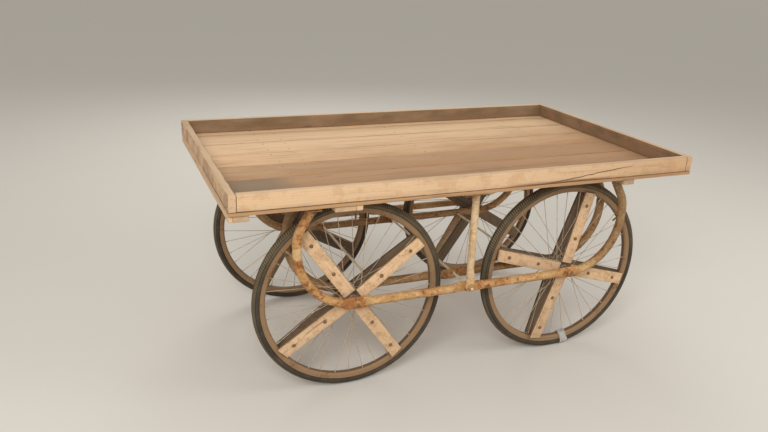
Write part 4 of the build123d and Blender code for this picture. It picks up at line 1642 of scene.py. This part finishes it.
class HANDCART_OT_welds(bpy.types.Operator):
    """Run weld beads round the pipes' feet and the outer rods"""

    bl_idname = "hand_cart.welds"
    bl_label = "Weld Beads"

    def execute(self, context):
        pipe = context.scene.hand_cart.pipe
        x_way, y_way, z_way = (1, 0, 0), (0, 1, 0), (0, 0, 1)
        foot_radii = (pipe.radius / math.cos(BOW_LEAN), pipe.radius)
        strut_radii = (pipe.strut_radius, pipe.strut_radius)
        rod_radii = (ROD_RADIUS + 0.0005, ROD_RADIUS + 0.0005)
        level = PLATE_BOTTOM - 0.0004
        rail_face = pipe.radius - 0.0006
        circles = []
        for _, frame_y, _, outer in side_frames():
            for along in (-1, 1):
                centre = (along * (HALF_BASE + BOW_TOP_REACH), frame_y, level)
                circles.append(circle_round(centre, x_way, y_way, foot_radii))
            if outer:
                circles.append(circle_round((0, frame_y, level), x_way, y_way, strut_radii))
                continue
            for along in (-1, 1):
                for face in (-1, 1):
                    centre = (along * ROD_REACH, frame_y + face * rail_face, AXLE_HEIGHT)
                    circles.append(circle_round(centre, x_way, z_way, rod_radii, 14))
        rows = np.array(((-0.7, 0.45), (-0.4, 0.9), (0.0, 1.05), (0.4, 0.9), (0.7, 0.45)))
        bead = model_piece("bead", Shape().add(turned(rows * pipe.weld_bead, 7)), crease=60)
        mesh = grown("weld_beads", ring_line("weld_lines", circles), bead_run_tree(), {
            "Bead": bead, "Spacing": pipe.weld_bead * 0.85, "Seed": 4, "Material": finish("dark_steel"),
        })
        place("weld_beads", mesh, CART)
        bpy.data.objects.remove(bead)
        return {"FINISHED"}


class HANDCART_OT_strips(bpy.types.Operator):
    """Tie a strip of rag round the right front wheel's rim and tyre"""

    bl_idname = "hand_cart.strips"
    bl_label = "Rag Strips"

    strip_width: length("Strip width", "Width of a strip of rag", 0.032)
    strip_thickness: length("Strip thickness", "Thickness of a strip of rag", 0.0013)

    def execute(self, context):
        half = [(0.0, 0.3078), (0.0065, 0.3080), (0.0118, 0.3092), (0.0152, 0.3140), (0.0160, 0.3220),
                (0.0164, 0.3310), (0.0198, 0.3365), (0.0207, 0.3420), (0.0196, 0.3475), (0.0160, 0.3522),
                (0.0110, 0.3552), (0.0055, 0.3570), (0.0, 0.3574)]
        loop = np.array(half + [(-y, r) for y, r in half[-2:0:-1]])
        around = np.linalg.norm(np.roll(loop, -1, axis=0) - loop, axis=1)
        travel = np.concatenate(((0.0,), np.cumsum(around)))[:-1]
        across = np.linspace(-0.5, 0.5, 8) * self.strip_width
        hub = np.asarray(HUB[RAG_WHEEL])
        points = []
        grain = []
        for far, (y, r) in zip(travel, loop):
            for offset in across:
                probe = [(far, offset, RAG_TURN)]
                shift = 0.0048 * rough(probe, 0.022, 3)[0] * abs(offset) / self.strip_width * 2
                lift = 1 + 0.0010 * rough(probe, 0.012, 8)[0]
                angle = math.radians(RAG_TURN) + (offset + shift) / r
                points.append(hub + (r * lift * math.cos(angle), y * lift, r * lift * math.sin(angle)))
                grain.append((far, offset, RAG_TURN * 0.01))
        index = np.arange(len(points)).reshape(len(loop), len(across))
        after = np.roll(index, -1, axis=0)
        corners = (index[:, :-1], index[:, 1:], after[:, 1:], after[:, :-1])
        faces = np.stack(corners, axis=2).reshape(-1, 4).tolist()
        mesh = Shape().add((points, faces), grain).mesh("strip", crease=70)
        if mesh.polygons[0].normal.z * (points[0][2] - hub[2]) > 0:
            mesh.flip_normals()
        sheet = bpy.data.objects.new("strip", mesh)
        thick = sheet.modifiers.new("Thickness", "SOLIDIFY")
        thick.thickness = self.strip_thickness
        thick.offset = 1.0
        strip = place("rag_strip_" + RAG_WHEEL, bake(sheet), "wheel_" + RAG_WHEEL,
                      finish("cloth"))
        return {"FINISHED"}


class HANDCART_OT_stage(bpy.types.Operator):
    """Set the camera, the floor and the lights"""

    bl_idname = "hand_cart.stage"
    bl_label = "Stage"

    def execute(self, context):
        stage = context.scene.hand_cart.stage
        camera = bpy.data.objects.new("camera", bpy.data.cameras.new("camera"))
        camera.data.lens = stage.lens
        camera.data.sensor_width = 36.0
        turn = Matrix((
            (0.92713, 0.09398, -0.36275),
            (-0.37277, 0.32997, -0.86727),
            (0.03820, 0.93930, 0.34096),
        ))
        camera.matrix_world = Matrix.Translation(stage.camera_at) @ turn.to_4x4()
        context.scene.collection.objects.link(camera)
        context.scene.camera = camera

        half = 40.0
        mesh = bpy.data.meshes.new("floor")
        corners = [(-half, -half, 0), (half, -half, 0), (half, half, 0), (-half, half, 0)]
        mesh.from_pydata(corners, [], [(0, 1, 2, 3)])
        mesh.materials.append(finish("floor"))
        floor = bpy.data.objects.new("floor", mesh)
        context.scene.collection.objects.link(floor)

        rows = (
            ("key_light", (-2.3, -3.5, 3.2), 2.4, stage.key),
            ("fill_light", (3.6, -2.4, 2.2), 2.6, stage.fill),
            ("back_light", (0.8, 3.6, 3.2), 2.6, stage.fill),
        )
        target = Vector((0.0, 0.0, 0.5))
        for name, spot, size, power in rows:
            data = bpy.data.lights.new(name, "AREA")
            data.shape = "DISK"
            data.size = size
            data.energy = power
            light = bpy.data.objects.new(name, data)
            aim = (target - Vector(spot)).to_track_quat("-Z", "Y")
            light.matrix_world = Matrix.Translation(spot) @ aim.to_matrix().to_4x4()
            context.scene.collection.objects.link(light)

        world = bpy.data.worlds.new("studio")
        context.scene.world = world
        world.use_nodes = True
        nodes = Nodes(world.node_tree)
        path = nodes.node("ShaderNodeLightPath").socket.node.outputs
        seen = Socket(nodes, path["Is Camera Ray"])
        seen = seen.math("MAXIMUM", seen, Socket(nodes, path["Is Glossy Ray"]))
        seen = seen.math("MAXIMUM", seen, Socket(nodes, path["Is Transmission Ray"]))
        background = world.node_tree.nodes["Background"]
        background.inputs["Color"].default_value = (*tint(232, 229, 224), 1.0)
        strength = seen * (1.0 - stage.sky) + stage.sky
        world.node_tree.links.new(strength.socket, background.inputs["Strength"])
        context.scene.view_settings.view_transform = "Standard"
        return {"FINISHED"}


OPERATORS = (
    HANDCART_OT_rim_boards,
    HANDCART_OT_deck,
    HANDCART_OT_bearers,
    HANDCART_OT_battens,
    HANDCART_OT_bows,
    HANDCART_OT_struts,
    HANDCART_OT_rods,
    HANDCART_OT_tyres,
    HANDCART_OT_rims,
    HANDCART_OT_hubs,
    HANDCART_OT_fasteners,
    HANDCART_OT_welds,
    HANDCART_OT_strips,
    HANDCART_OT_stage,
)


class HANDCART_PT_panel(bpy.types.Panel):
    """Lists the sizes, the colours and the steps of the hand cart"""

    bl_idname = "HANDCART_PT_panel"
    bl_label = "Hand Cart"
    bl_space_type = "VIEW_3D"
    bl_region_type = "UI"
    bl_category = "Hand Cart"

    def draw(self, context):
        for group in ("timber", "pipe", "wheel", "fastener", "stage"):
            values = getattr(context.scene.hand_cart, group)
            column = self.layout.column(align=True)
            column.label(text=group.capitalize())
            for name in values.__annotations__:
                column.prop(values, name)
        for operator in OPERATORS:
            self.layout.operator(operator.bl_idname)


CLASSES = (
    TimberSettings, PipeSettings, WheelSettings, FastenerSettings, StageSettings, HandCartSettings,
    *OPERATORS, HANDCART_PT_panel,
)


def register():
    for item in CLASSES:
        bpy.utils.register_class(item)
    bpy.types.Scene.hand_cart = PointerProperty(type=HandCartSettings)


def unregister():
    del bpy.types.Scene.hand_cart
    for item in reversed(CLASSES):
        bpy.utils.unregister_class(item)


def main():
    register()
    for operator in OPERATORS:
        group, name = operator.bl_idname.split(".")
        getattr(getattr(bpy.ops, group), name)()


if __name__ == "__main__":
    main()
